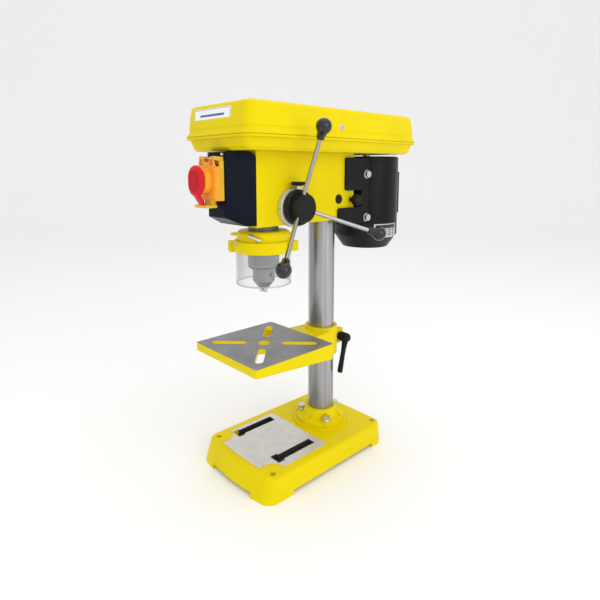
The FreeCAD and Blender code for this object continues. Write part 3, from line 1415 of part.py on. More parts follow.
def makeBeltCover():
    rimLow = rimHigh - rimThick
    pan = newBody("belt_pan")
    foot = rimLip + panDraft
    shoulder = headTop + panEdge / 2
    lofted(pan, "Additive", [
        (headTop, coverPlan(foot + panEdge / 2)), (shoulder, coverPlan(foot)), (rimLow, coverPlan(rimLip)),
    ])
    fill(pan, "XY", [coverPlan(0)], rimLow, rimHigh)
    lofted(pan, "Subtractive", [
        (headTop + panSkin, coverPlan(foot + panEdge / 2 + panSkin)), (shoulder, coverPlan(foot + panSkin)),
        (rimHigh + 1, coverPlan(rimLip + panSkin)),
    ])
    cut(pan, "XY", [circle(0, spindleY, sleeveShaft + 8)], headTop - 1, headTop + panSkin + 1)
    hub = motorShaft + 9
    cut(pan, "XY", [outline(
        [(hub, motorY - tensionStroke), (hub, motorY), (-hub, motorY), (-hub, motorY - tensionStroke)],
        {1: (hub, 0, motorY + hub), 3: (hub, 0, motorY - tensionStroke - hub)},
    )], headTop - 1, headTop + panSkin + 1)

    lid = newBody("belt_lid")
    lidLow = rimHigh + seatGap
    lidFoot = rimLip - 1
    lidHead = lidFoot + lidDraft
    lofted(lid, "Additive", [
        (lidLow, coverPlan(lidFoot)), (lidTop - lidEdge, coverPlan(lidHead)),
        (lidTop - lidEdge / 3, coverPlan(lidHead + lidEdge / 4)), (lidTop, coverPlan(lidHead + lidEdge)),
    ])
    fill(lid, "XY", [coverPlan(1.5)], lidLow, lidLow + 2)
    lofted(lid, "Subtractive", [
        (lidLow - 1, coverPlan(lidFoot + panSkin)), (lidTop - lidEdge, coverPlan(lidHead + panSkin)),
        (lidTop - panSkin, coverPlan(lidHead + lidEdge)),
    ])

    hingeX = -(rimHalf + hingeOut)
    hingeZ = rimHigh + seatGap / 2
    barrel = hingePin + 1.2
    pins = []
    for number, middle in enumerate((hingeFront, hingeBack)):
        for low, high in ((-hingeWide, -hingeWide / 3 - seatGap), (hingeWide / 3 + seatGap, hingeWide)):
            fill(pan, "XZ", [circle(hingeX, hingeZ, barrel)], middle + low, middle + high)
            tab = box(hingeX, -rimHalf + 3, hingeZ - barrel, rimHigh - seatGap)
            fill(pan, "XZ", [tab], middle + low, middle + high)
        low = middle - hingeWide / 3
        high = middle + hingeWide / 3
        fill(lid, "XZ", [circle(hingeX, hingeZ, barrel)], low, high)
        fill(lid, "XZ", [box(hingeX, -rimHalf + 4, rimHigh + seatGap * 2, hingeZ + barrel)], low, high)
        way = circle(hingeX, hingeZ, hingePin + turnGap)
        cut(pan, "XZ", [way], middle - hingeWide - 1, middle + hingeWide + 1)
        cut(lid, "XZ", [way], low - 1, high + 1)
        pinPiece = primitive("Cylinder", f"lidHingePin{number}", Radius=hingePin, Height=hingeWide * 2)
        pins.append(aim(pinPiece, hingeX, middle + hingeWide, hingeZ, (1, 0, 0), 90))
    gathered("lid_hinge_pins", pins)

    wallX = rimHalf - rimLip + 1 - lidDraft * (lidScrewHigh - lidLow) / (lidTop - lidLow)
    cut(lid, "YZ", [circle(lidScrewBack, lidScrewHigh, lidScrew + 0.2)], wallX - panSkin * 3, wallX + 3)
    screw = newBody("lid_screw", wallX, lidScrewBack, lidScrewHigh)
    turned(screw, "X", [
        (0, -panSkin * 3), (lidScrew, -panSkin * 3),
        (lidScrew, seatGap), (lidScrew + 2, seatGap), (lidScrew + 2, 1.3),
        (lidScrew + 1, 3), (0, 3),
    ])

    plateY = -rimFront + rimLip - 1 + lidDraft * (plateHigh - lidLow) / (lidTop - lidLow)
    plate = newBody("name_plate", plateSide, plateY, plateHigh)
    tilt = math.degrees(math.atan(lidDraft.value / (lidTop - lidLow).value))
    lay = FreeCAD.Rotation(FreeCAD.Vector(1, 0, 0), -tilt)
    plate.Placement = FreeCAD.Placement(plate.Placement.Base, lay)
    fill(plate, "XZ", [box(-plateHalf, plateHalf, -plateTall / 2, plateTall / 2)], -1, 0)


# ---- motor ----

def makeMotor():
    shell = newBody("motor_shell", 0, motorY)
    capLow = motorTop - motorCap
    inner = motorRadius - motorSkin
    boss = bearingRadius + 4
    floor = fanTop + bearingHigh - 2
    turned(shell, "Z", [
        (bearingRadius, fanTop), (motorRadius, fanTop),
        (motorRadius, capLow), (inner, capLow), (inner, fanTop + 4),
        (boss, fanTop + 4), (boss, floor), (bearingRadius, floor),
    ])
    lugSide = bracketHalf - bracketThick - seatGap / 2
    lugFront = -motorRadius - 1 + 4
    for side in (-1, 1):
        near = side * (lugSide - 12)
        far = side * lugSide
        low, high = (far, near) if side < 0 else (near, far)
        for middle in (boltUpper, boltLower):
            lug = box(lugFront, -inner * 0.6, middle - 11, middle + 11)
            fill(shell, "YZ", [lug], low, high)
    cut(shell, "XY", [circle(0, 0, inner)], fanTop + 4, capLow)
    boltY = headRear + tensionStroke + 2 + bracketThick + 8 - motorY
    ways = [circle(boltY, high, motorBolt + 0.2) for high in (boltUpper, boltLower)]
    cut(shell, "YZ", ways, -lugSide - 1, lugSide + 1)

    cap = newBody("motor_top_cap", 0, motorY)
    wall = inner - 3
    boss = bearingRadius + 4
    seat = motorTop - 6
    turned(cap, "Z", [
        (motorShaft + turnGap, motorTop), (motorRadius - 2, motorTop), (motorRadius, motorTop - 2),
        (motorRadius, capLow), (inner, capLow),
        (inner, capLow - 4), (wall, capLow - 4), (wall, motorTop - 3),
        (boss, motorTop - 3), (boss, seat - bearingHigh + 2), (bearingRadius, seat - bearingHigh + 2),
        (bearingRadius, seat), (motorShaft + turnGap, seat),
    ])
    turned(cap, "Z", ring(motorRadius - 0.8, motorRadius + 1, capLow + 3, capLow + 4.5), cut=True)

    fan = newBody("motor_fan_cover", 0, motorY)
    skin = motorSkin / 2
    turned(fan, "Z", [
        (0, fanLow), (fanFloor, fanLow), (motorRadius, fanLow + fanSlope), (motorRadius, fanTop),
        (motorRadius - skin, fanTop),
        (motorRadius - skin, fanLow + fanSlope + 1), (fanFloor - 1, fanLow + skin),
        (0, fanLow + skin),
    ])
    vent = cut(fan, "XY", [slot(fanFloor * 0.6, 0, fanFloor * 0.55, 4)], fanLow - 1, fanLow + skin + 1)
    around(fan, [vent], 12)

    stator = newBody("motor_stator", 0, motorY)
    turned(stator, "Z", ring(rotorRadius + 0.5, inner - seatGap, fanTop + 14, capLow - 14))
    rotor = newBody("motor_rotor", 0, motorY)
    turned(rotor, "Z", [
        (0, fanLow + 12), (motorShaft, fanLow + 12), (motorShaft, fanTop + 14), (rotorRadius, fanTop + 14),
        (rotorRadius, capLow - 14), (motorShaft, capLow - 14), (motorShaft, lidTop - 6), (0, lidTop - 6),
    ])
    blades = newBody("motor_fan", 0, motorY)
    turned(blades, "Z", ring(motorShaft, motorShaft + 6, fanLow + 16, fanTop - 12))
    blade = fill(blades, "XZ", [box(motorShaft + 4, fanFloor, fanLow + 20, fanTop - 12)], -1, 1)
    around(blades, [blade], 8)

    bearings = []
    for number, low in enumerate((fanTop, motorTop - 6 - bearingHigh + 2)):
        outer = primitive("Cylinder", f"motorRace{number}", Radius=bearingRadius, Height=bearingHigh - 2)
        inside = motorShaft + turnGap
        hole = primitive("Cylinder", f"motorRaceBore{number}", Radius=inside, Height=bearingHigh + 2)
        aim(hole, z=-1)
        race = doc.addObject("Part::Cut", f"motorBearing{number}")
        race.Base = outer
        race.Tool = hole
        bearings.append(aim(race, 0, motorY, low))
    gathered("motor_bearings", bearings)

    capacitor = newBody("capacitor_box", 0, motorY)
    rear = motorRadius + capacitorDepth
    block = box(-capacitorHalf, capacitorHalf, motorRadius - 10, rear)
    fill(capacitor, "XY", [block], capacitorLow, capacitorHigh)
    dress(capacitor, "Fillet", 3, lambda edge: edge.BoundBox.YMin > rear.value - 1e-3)
    cut(capacitor, "XY", [circle(0, 0, motorRadius + seatGap)], capacitorLow - 1, capacitorHigh + 1)

    label = newBody("rating_plate", 0, motorY)
    turned(label, "Z", ring(motorRadius + seatGap, motorRadius + seatGap + labelThick, labelLow, labelHigh))
    label.Tip.setExpression("Angle", labelSpan.text)
    label.Placement = FreeCAD.Placement(
        label.Placement.Base, FreeCAD.Rotation(FreeCAD.Vector(0, 0, 1), -10 - labelSpan.value / 2)
    )


def makeBracket():
    plateY = headRear + tensionStroke + 2
    bracket = newBody("motor_bracket")
    back = plateY + bracketThick
    fill(bracket, "XZ", [box(-bracketHalf, bracketHalf, bracketLow, bracketHigh)], plateY, back)
    inside = bracketHalf - bracketThick
    rearY = motorY - rootOf(motorRadius * motorRadius - inside * inside) - openGap
    upperFront = headRear - 28
    lowerFront = headRear - 46
    flange = outline([
        (rearY, bracketLow), (rearY, bracketHigh), (upperFront, bracketHigh), (upperFront, bracketUpper),
        (plateY, bracketUpper), (plateY, bracketLower), (lowerFront, bracketLower), (lowerFront, bracketLow),
    ])
    for side in (-1, 1):
        near = side * (bracketHalf - bracketThick)
        far = side * bracketHalf
        low, high = (far, near) if side < 0 else (near, far)
        fill(bracket, "YZ", [flange], low, high)
    dress(bracket, "Fillet", 4, lambda edge: abs(edge.BoundBox.XLength - bracketThick.value) < 1e-3
          and edge.BoundBox.YMin < headRear.value)
    boltY = back + 8
    for side in (-1, 1):
        cut(bracket, "XZ", [circle(side * barSide, barHigh, barRadius)], plateY - 1, back + 1)
    ways = [circle(boltY, high, motorBolt + 0.2) for high in (boltUpper, boltLower)]
    cut(bracket, "YZ", ways, -bracketHalf - 1, bracketHalf + 1)

    bars = []
    for number, side in enumerate((-1, 1)):
        length = back + 1 - headRear + barGrip
        bar = primitive("Cylinder", f"slideBar{number}", Radius=barRadius, Height=length)
        bars.append(aim(bar, side * barSide, back + 1, barHigh, (1, 0, 0), 90))
    gathered("slide_bars", bars)

    bolts = []
    number = 0
    for side in (-1, 1):
        for high in (boltUpper, boltLower):
            bolt = hexBolt(f"motorBolt{number}", motorBolt, bracketThick + 8, 6.5, 5, 7.5, 1.4)
            number += 1
            bolts.append(aim(bolt, side * bracketHalf, boltY, high, (0, 1, 0), 90 * side))
    gathered("motor_bolts", bolts)

    knob = newBody("tension_lock_knob", 0, headRear - 11, barHigh)
    start = bracketHalf + openGap
    turned(knob, "X", [
        (0, barSide + barRadius + seatGap),
        (tensionStud, barSide + barRadius + seatGap), (tensionStud, start),
        (6, start), (7, start + 3), (tensionKnob, start + 4),
        (tensionKnob, start + 12), (tensionKnob - 2, start + 14),
        (0, start + 14),
    ])
    scallop = cut(knob, "YZ", [circle(tensionKnob + 1.2, 0, 3)], start + 3.5, start + 15)
    around(knob, [scallop], 5, "X")


# ---- the whole machine ----

def finish():
    doc.recompute()
    for item in doc.Objects:
        if {"Invalid", "Error"} & set(item.State):
            raise ValueError(f"{item.Name} failed: {item.State}")
    os.makedirs("parts", exist_ok=True)
    for piece in pieces:
        shape = piece.Shape
        if shape.isNull() or not shape.isValid() or not shape.Solids:
            raise ValueError(f"{piece.Label} has no valid solid")
        shape.exportStep(os.path.join("parts", f"{piece.Label}.step"))
        b = shape.BoundBox
        print(f"{piece.Label:22s} solids {len(shape.Solids)}  volume {shape.Volume:11.1f}  "
              f"x {b.XMin:7.1f} {b.XMax:7.1f}  y {b.YMin:7.1f} {b.YMax:7.1f}  z {b.ZMin:6.1f} {b.ZMax:6.1f}")
    print(len(pieces), "nodes")


steps = (
    makeBase, makeColumn, makeFlangeBolts, makeTable, makeTableLock, makeHead, makeFrontCover, makeSwitch,
    makeQuill, makeSpindle, makeChuck, makeGuard, makeFeed, makeDrive, makeBeltCover, makeMotor, makeBracket,
)
for step in steps:
    step()
finish()
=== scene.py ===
import json
import math
import bpy
import bmesh
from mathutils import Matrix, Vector


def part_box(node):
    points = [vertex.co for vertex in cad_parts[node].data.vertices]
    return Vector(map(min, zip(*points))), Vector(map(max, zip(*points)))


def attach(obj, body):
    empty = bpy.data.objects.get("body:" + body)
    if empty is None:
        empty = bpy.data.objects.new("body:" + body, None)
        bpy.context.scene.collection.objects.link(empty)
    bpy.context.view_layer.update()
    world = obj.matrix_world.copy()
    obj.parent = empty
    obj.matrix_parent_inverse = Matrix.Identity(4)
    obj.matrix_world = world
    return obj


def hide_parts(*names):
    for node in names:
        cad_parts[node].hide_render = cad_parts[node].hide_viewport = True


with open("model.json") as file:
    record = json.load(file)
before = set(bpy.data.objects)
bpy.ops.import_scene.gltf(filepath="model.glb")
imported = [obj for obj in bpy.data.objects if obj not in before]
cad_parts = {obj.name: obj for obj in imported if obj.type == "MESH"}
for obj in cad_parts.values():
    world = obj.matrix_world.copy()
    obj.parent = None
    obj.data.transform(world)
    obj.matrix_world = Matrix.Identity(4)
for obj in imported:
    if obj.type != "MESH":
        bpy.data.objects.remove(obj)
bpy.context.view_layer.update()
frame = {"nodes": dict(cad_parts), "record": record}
nodes = frame["nodes"]
joints = frame["record"]["behaviour"]["joints"]
mm = 0.001


def span(node):
    # a node's lowest and highest corners at rest, in millimetres
    low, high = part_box(node)
    return low / mm, high / mm


def middleOf(node):
    low, high = span(node)
    return (low + high) / 2


# shader maths: a wrapped socket, and one way to add a node

class Flow:
    def __init__(self, finish, socket):
        self.finish = finish
        self.socket = socket

    def calc(self, operation, first, second=0.0):
        return self.finish.node("Math", {"operation": operation}, {0: first, 1: second})

    def __add__(self, other):
        return self.calc("ADD", self, other)

    def __sub__(self, other):
        return self.calc("SUBTRACT", self, other)

    def __rsub__(self, other):
        return self.calc("SUBTRACT", other, self)

    def __mul__(self, other):
        return self.calc("MULTIPLY", self, other)

    def __truediv__(self, other):
        return self.calc("DIVIDE", self, other)

    def __pow__(self, other):
        return self.calc("POWER", self, other)

    def __gt__(self, other):
        return self.calc("GREATER_THAN", self, other)

    def __lt__(self, other):
        return self.calc("LESS_THAN", self, other)

    __radd__ = __add__
    __rmul__ = __mul__

    def size(self):
        return self.calc("ABSOLUTE", self)

    def most(self, other):
        return self.calc("MAXIMUM", self, other)

    def wrapped(self):
        return self.calc("FRACT", self)

    def turnFrom(self, other):
        return self.calc("ARCTAN2", self, other)

    def ramp(self, low, high, below=0.0, above=1.0):
        return self.finish.node("MapRange", {"clamp": True}, {0: self, 1: low, 2: high, 3: below, 4: above})

    def spread(self, below=0.0, above=1.0):
        # a noise's usual values, stretched over a range
        return self.ramp(0.3, 0.7, below, above)

    def between(self, low, high, edge):
        return self.ramp(low - edge, low) * self.ramp(high, high + edge, 1.0, 0.0)


class Finish:
    def __init__(self, name):
        self.material = bpy.data.materials.new(name)
        self.material.use_nodes = True
        self.tree = self.material.node_tree
        self.tree.nodes.clear()
        self.end = self.tree.nodes.new("ShaderNodeOutputMaterial")
        self.place = self.node("TexCoord", {}, {}, "Object")
        self.x, self.y, self.z = self.split(self.place)
        self.up = self.split(self.node("TexCoord", {}, {}, "Normal"))[2]

    def node(self, kind, settings, sockets, out=0):
        made = self.tree.nodes.new("ShaderNode" + kind)
        for key, value in settings.items():
            setattr(made, key, value)
        for key, value in sockets.items():
            if isinstance(value, Flow):
                self.tree.links.new(value.socket, made.inputs[key])
            else:
                made.inputs[key].default_value = value
        return Flow(self, made.outputs[out])

    def split(self, vector):
        first = self.node("SeparateXYZ", {}, {0: vector})
        return [Flow(self, out) for out in first.socket.node.outputs]

    def mix(self, share, first, second):
        first = first if isinstance(first, Flow) else (*first, 1)
        second = second if isinstance(second, Flow) else (*second, 1)
        return self.node("Mix", {"data_type": "RGBA"}, {0: share, 6: first, 7: second}, 2)

    def grain(self, pitch, detail=2.0, rough=0.5):
        # noise with features about pitch millimetres across, stretched where pitch is three numbers
        pitch = pitch if isinstance(pitch, tuple) else (pitch,) * 3
        place = self.node("VectorMath", {"operation": "MULTIPLY"},
                          {0: self.place, 1: tuple(1 / (p * mm) for p in pitch)})
        return self.node("TexNoise", {}, {"Vector": place, "Scale": 1.0, "Detail": detail, "Roughness": rough})

    def scaled(self, colour, tone):
        return self.node("VectorMath", {"operation": "SCALE"}, {0: colour, "Scale": tone})

    def bump(self, height, deep, under=None):
        sockets = {"Height": height, "Distance": deep * mm, "Strength": 1.0}
        if under:
            sockets["Normal"] = under
        return self.node("Bump", {}, sockets)

    def softEdge(self, radius):
        return self.node("Bevel", {"samples": 4}, {"Radius": radius * mm})

    def around(self, centre):
        # angle in turns, and distance in millimetres, about a sideways axis
        a, b = self.y - centre.y * mm, self.z - centre.z * mm
        return b.turnFrom(a) / (2 * math.pi), (a * a + b * b) ** 0.5 / mm

    def skin(self, sockets):
        shader = self.node("BsdfPrincipled", {}, sockets)
        self.tree.links.new(shader.socket, self.end.inputs["Surface"])
        return self.material


def shade(colour, share):
    return tuple(c * share for c in colour)


# finishes

# the near-black colour is painted shade for the inside of the base pad's slots
paint = {
    "yellow": (0.79, 0.63, 0.0), "deep": 0.94, "driftPitch": 70.0, "paintedShade": (0.035, 0.035, 0.04),
    "roughness": 0.34, "wearPitch": 9.0, "coat": 0.02, "coatRoughness": 0.12, "gloss": 0.08,
    "peelPitch": 2.6, "peel": 0.008, "castPitch": 22.0, "cast": 0.12, "edge": 1.2, "toolMarks": 0.02,
}


def enamel(name, cast=False, bare=None, dark=None):
    # bare gives a machined face's mask, colour, roughness, height and metallic; dark masks where painted shade goes
    f = Finish(name)
    drift = f.grain(paint["driftPitch"], 3.0)
    colour = f.mix(drift.ramp(0.35, 0.65), shade(paint["yellow"], paint["deep"]), paint["yellow"])
    if dark:
        # painted shade: where dark masks, the colour turns near-black
        colour = f.mix(dark(f), colour, paint["paintedShade"])
    rough = f.grain(paint["wearPitch"], 3.0).spread(paint["roughness"] - 0.05, paint["roughness"] + 0.07)
    normal = f.softEdge(paint["edge"])
    if cast:
        normal = f.bump(f.grain(paint["castPitch"], 2.0), paint["cast"], normal)
    normal = f.bump(f.grain(paint["peelPitch"], 1.0), paint["peel"], normal)
    sockets = {"Base Color": colour, "Roughness": rough, "Normal": normal,
               "Coat Roughness": paint["coatRoughness"], "Specular IOR Level": paint["gloss"]}
    if bare is None:
        sockets["Coat Weight"] = paint["coat"]
        return f.skin(sockets)
    mask, metal, metalRough, metalHeight, metallic = bare(f)
    sockets["Base Color"] = f.mix(mask, colour, metal)
    sockets["Roughness"] = rough + (metalRough - rough) * mask
    sockets["Metallic"] = mask * metallic
    sockets["Coat Weight"] = (1 - mask) * paint["coat"]
    sockets["Normal"] = f.bump(metalHeight * mask, paint["toolMarks"], normal)
    return f.skin(sockets)


# tableTop is measured down from the table casting's highest point, padTop up from the floor
milled = {
    "table": (0.27, 0.27, 0.275), "tableTop": (3.4, 2.6), "tableMetallic": 0.55,
    "pad": (0.66, 0.66, 0.66), "padTop": (38.4, 39.2), "padSoft": 0.2, "padMetallic": 0.5,
    "facingUp": 0.8,
}


def tableBare(f):
    high = span("table")[1]
    deep, shallow = milled["tableTop"]
    mask = (f.z > (high.z - deep) * mm) * (f.z < (high.z - shallow) * mm) * (f.up > milled["facingUp"])
    across = f.grain((0.35, 24.0, 9.0), 3.0, 0.7)
    along = f.grain((26.0, 0.4, 9.0), 3.0, 0.7)
    worn = f.grain(30.0, 3.0)
    lines = across * 0.6 + along * 0.4
    tone = lines.ramp(0.38, 0.62, 0.66, 1.3) * worn.spread(0.9, 1.1)
    return mask, f.scaled(milled["table"], tone), lines.spread(0.34, 0.52), lines, milled["tableMetallic"]


def padBare(f):
    low, high = milled["padTop"]
    mask = f.z.between(low * mm, high * mm, milled["padSoft"] * mm) * (f.up > milled["facingUp"])
    lines = f.grain((0.5, 40.0, 9.0), 3.0, 0.7)
    worn = f.grain(18.0, 3.0)
    tone = lines.ramp(0.35, 0.65, 0.9, 1.1) * worn.spread(0.94, 1.06)
    return mask, f.scaled(milled["pad"], tone), lines.spread(0.32, 0.48), lines, milled["padMetallic"]


# the box inside the pad's slots where shade is painted
slots = {
    "half": 66.0, "front": -118.0, "rear": -6.0, "low": 8.0, "high": 38.5, "soft": 0.4,
    "upright": 0.5, "lip": 36.5, "holeAcross": 72.5, "holeFront": 118.5, "bite": 26.0,
}


def slotPaintedShade(f):
    # painted shade: the walls and the low faces inside the pad's two slots are coloured near-black
    soft = slots["soft"] * mm
    inside = (f.x.between(-slots["half"] * mm, slots["half"] * mm, soft)
              * f.y.between(slots["front"] * mm, slots["rear"] * mm, soft)
              * f.z.between(slots["low"] * mm, slots["high"] * mm, soft))
    wall = (f.up.size() < slots["upright"]).most(f.z < slots["lip"] * mm)
    # the pad's bites round the bolt holes stay yellow, without the painted shade
    across, back = f.x.size() - slots["holeAcross"] * mm, f.y + slots["holeFront"] * mm
    return inside * wall * ((across * across + back * back) ** 0.5 > slots["bite"] * mm)


steel = {
    "ground": (0.58, 0.58, 0.59), "column": (0.30, 0.30, 0.31), "chuck": (0.27, 0.27, 0.28),
    "quill": (0.16, 0.15, 0.13), "alloy": (0.70, 0.70, 0.71), "rod": (0.40, 0.40, 0.41),
    "zinc": (0.66, 0.67, 0.69), "spring": (0.18, 0.18, 0.20), "lineLength": 40.0, "edge": 0.4,
}


def turnedSteel(name, colour, roughness, axis, pitch=0.5, deep=0.006):
    # fine tool lines that run round an axis
    f = Finish(name)
    stretch = tuple(pitch if way == axis else steel["lineLength"] for way in "xyz")
    lines = f.grain(stretch, 3.0, 0.7)
    smear = f.grain(26.0, 3.0)
    rough = (lines * 0.6 + smear * 0.4).spread(roughness - 0.06, roughness + 0.08)
    return f.skin({"Base Color": f.mix(lines.spread(), shade(colour, 0.88), colour), "Metallic": 1.0,
                   "Roughness": rough, "Normal": f.bump(lines, deep, f.softEdge(steel["edge"]))})


# fine sizes the bar's real streaks; broad, dark and light make the broad bands of painted reflection
streaksAndPaintedReflection = {"fine": (1.6, 1.6, 300.0), "paintedReflectionBands": (11.0, 11.0, 900.0), "dark": 0.55, "light": 1.45, "deep": 0.002}


def polished(name, colour, roughness):
    # a ground bar, its faint fine streaks running along its length; the broad light and dark bands along it are
    # painted reflection
    f = Finish(name)
    fine = f.grain(streaksAndPaintedReflection["fine"], 2.0, 0.6)
    # painted reflection: broad light and dark bands along the bar, carried into the base colour
    paintedReflectionBands = f.grain(streaksAndPaintedReflection["paintedReflectionBands"], 1.0)
    tone = f.mix((fine * 0.3 + paintedReflectionBands * 0.7).ramp(0.36, 0.62),
                 shade(colour, streaksAndPaintedReflection["dark"]), shade(colour, streaksAndPaintedReflection["light"]))
    return f.skin({"Base Color": tone, "Metallic": 1.0,
                   "Roughness": fine.spread(roughness - 0.03, roughness + 0.05),
                   "Normal": f.bump(fine, streaksAndPaintedReflection["deep"], f.softEdge(steel["edge"]))})


plating = {"mottlePitch": 3.5, "grainPitch": 0.8, "deep": 0.004, "edge": 0.35}


def plated(name, colour, roughness):
    f = Finish(name)
    mottle = f.grain(plating["mottlePitch"], 3.0)
    fine = f.grain(plating["grainPitch"], 2.0)
    return f.skin({"Base Color": f.mix(mottle.spread(), shade(colour, 0.9), colour), "Metallic": 1.0,
                   "Roughness": mottle.spread(roughness - 0.05, roughness + 0.06),
                   "Normal": f.bump(fine, plating["deep"], f.softEdge(plating["edge"]))})


def moulded(name, colour, roughness, pitch=0.5, deep=0.012, edge=0.8, coat=0.0, lift=1.25, gloss=0.25):
    f = Finish(name)
    cloud = f.grain(24.0, 3.0)
    wear = f.grain(7.0, 3.0)
    return f.skin({"Base Color": f.mix(cloud.spread(), colour, shade(colour, lift)),
                   "Roughness": wear.spread(roughness - 0.05, roughness + 0.06),
                   "Coat Weight": coat, "Coat Roughness": 0.1, "Specular IOR Level": gloss,
                   "Normal": f.bump(f.grain(pitch, 1.0), deep, f.softEdge(edge))})


# every fifth mark of the ring's scale is a longer one
scale = {
    "marks": 50, "longMarks": 10, "width": 0.12, "longWidth": 0.03, "length": 4.5, "longLength": 7.0,
    "inside": 30.2, "ink": (0.02, 0.02, 0.02), "dull": (0.62, 0.62, 0.62), "light": (0.72, 0.72, 0.72),
    "metallic": 0.6, "roughness": 0.34, "engraved": 0.08,
}


def graduated(name):
    f = Finish(name)
    high = span("depth_ring")[1]
    angle, far = f.around(middleOf("depth_ring"))
    # whole turns are added to keep the angle positive
    beat = (angle * scale["marks"] + 100).wrapped()
    longBeat = (angle * scale["longMarks"] + 100).wrapped()
    marks = (beat < scale["width"]) * (f.x > (high.x - scale["length"]) * mm)
    longMarks = (longBeat < scale["longWidth"]) * (f.x > (high.x - scale["longLength"]) * mm)
    mark = marks.most(longMarks) * (far > scale["inside"])
    lines = f.grain((0.4, 30.0, 30.0), 3.0, 0.7)
    tone = f.mix(mark, f.mix(lines.spread(), scale["dull"], scale["light"]), scale["ink"])
    return f.skin({"Base Color": tone, "Metallic": (1 - mark) * scale["metallic"], "Roughness": scale["roughness"],
                   "Normal": f.bump(1 - mark, scale["engraved"], f.softEdge(steel["edge"]))})


clear = {"colour": (0.60, 0.62, 0.64, 1), "facing": 0.10, "grazing": 0.52, "haze": 0.04, "index": 1.5}


def clearShield(name, more=0.0):
    # thin clear plastic, more opaque at a grazing angle; more adds to both
    f = Finish(name)
    graze = f.node("LayerWeight", {}, {"Blend": 0.45}, "Facing")
    haze = f.grain(14.0, 3.0)
    least, most = clear["facing"] + more * 0.5, clear["grazing"] + more * 0.4
    alpha = graze.ramp(0.1, 1.0, least, most) + haze * clear["haze"]
    return f.skin({"Base Color": clear["colour"], "Roughness": haze.spread(0.05, 0.12), "Alpha": alpha,
                   "IOR": clear["index"], "Normal": f.bump(haze, 0.05)})


def rubber(name):
    f = Finish(name)
    return f.skin({"Base Color": f.mix(f.grain(5.0, 3.0), (0.012, 0.012, 0.012), (0.03, 0.03, 0.03)),
                   "Roughness": f.grain(4.0).spread(0.6, 0.8),
                   "Normal": f.bump(f.grain(0.4), 0.02, f.softEdge(0.5))})


plate = {"face": (0.86, 0.87, 0.88), "ink": (0.03, 0.07, 0.28), "border": (1.0, 1.6), "bar": (0.66, 0.16)}


def plateFace(name):
    # a blank plate with a plain border line and one plain bar, no lettering
    f = Finish(name)
    low, high = span("name_plate")
    middle, half = (low + high) / 2, (high - low) / 2
    u = (f.x - middle.x * mm).size() / mm
    v = (f.z - middle.z * mm).size() / mm
    wide, tall = plate["bar"]
    outer, inner = plate["border"]
    bar = (u < half.x * wide) * (v < half.z * tall)
    border = (u > half.x - inner).most(v > half.z - inner) * (u < half.x - outer) * (v < half.z - outer)
    return f.skin({"Base Color": f.mix(border.most(bar), plate["face"], plate["ink"]),
                   "Roughness": f.grain(5.0).spread(0.2, 0.3), "Coat Weight": 0.4,
                   "Coat Roughness": 0.08, "Normal": f.bump(f.grain(3.0), 0.01)})


rating = {
    "dull": (0.55, 0.55, 0.56), "light": (0.70, 0.70, 0.71), "ink": (0.02, 0.02, 0.025), "metallic": 0.4,
    "header": 0.68, "rows": 7, "rowLine": 0.3, "columns": 5, "columnLine": 0.16,
}


def ratingFace(name):
    # a silver plate with a dark header bar and plain ruled cells
    f = Finish(name)
    low, high = span("rating_plate")
    rise = (f.z - low.z * mm) / ((high.z - low.z) * mm)
    along = (f.y - low.y * mm) / ((high.y - low.y) * mm)
    inside = rise.between(0.06, 0.94, 0.01) * along.between(0.05, 0.95, 0.01)
    header = (rise > rating["header"]) * inside
    rows = (rise * rating["rows"]).wrapped() < rating["rowLine"]
    columns = (along * rating["columns"]).wrapped() < rating["columnLine"]
    dark = header.most(rows.most(columns) * inside * (rise < rating["header"]))
    tone = f.mix(dark, f.mix(f.grain(4.0), rating["dull"], rating["light"]), rating["ink"])
    return f.skin({"Base Color": tone, "Metallic": (1 - dark) * rating["metallic"], "Roughness": 0.35,
                   "Normal": f.bump(f.grain(0.8), 0.01)})


core = {"sheet": 0.5, "gap": 0.7, "steel": (0.30, 0.29, 0.28), "dark": (0.12, 0.11, 0.11), "metallic": 0.8}


def stacked(name):
    # a stack of thin steel sheets
    f = Finish(name)
    sheet = (f.z / (core["sheet"] * mm)).wrapped()
    return f.skin({"Base Color": f.mix(sheet > core["gap"], core["steel"], core["dark"]),
                   "Metallic": core["metallic"], "Roughness": f.grain(2.0).spread(0.45, 0.6),
                   "Normal": f.bump(sheet, 0.03)})


yellowSheet = enamel("yellow_sheet_enamel")
yellowCast = enamel("yellow_cast_enamel", cast=True)
yellowTable = enamel("yellow_table_enamel", cast=True, bare=tableBare)
# the base's enamel carries painted shade inside the pad's slots
yellowBase = enamel("yellow_base_enamel", cast=True, bare=padBare, dark=slotPaintedShade)
columnFinish = polished("polished_column", steel["column"], 0.3)
groundX, groundY, groundZ = [turnedSteel("ground_steel_" + axis, steel["ground"], 0.30, axis) for axis in "xyz"]
chuckFinish = turnedSteel("chuck_steel", steel["chuck"], 0.3, "z", pitch=0.9, deep=0.008)
darkSteel = turnedSteel("dark_turned_steel", steel["quill"], 0.34, "z")
alloy = turnedSteel("turned_alloy", steel["alloy"], 0.34, "z", pitch=0.8, deep=0.01)
rodFinish = plated("rod_plate", steel["rod"], 0.2)
zinc = plated("zinc_plate", steel["zinc"], 0.24)
blued = plated("blued_spring", steel["spring"], 0.34)
blackPlastic = moulded("black_plastic", (0.008, 0.008, 0.009), 0.42, gloss=0.18)
blackGloss = moulded("black_gloss", (0.006, 0.006, 0.007), 0.16, pitch=1.2, deep=0.004, edge=0.3, coat=0.12,
                     gloss=0.5)
blackCoat = moulded("black_powder_coat", (0.005, 0.005, 0.006), 0.34, pitch=0.7, deep=0.014, edge=1.0, gloss=0.15)
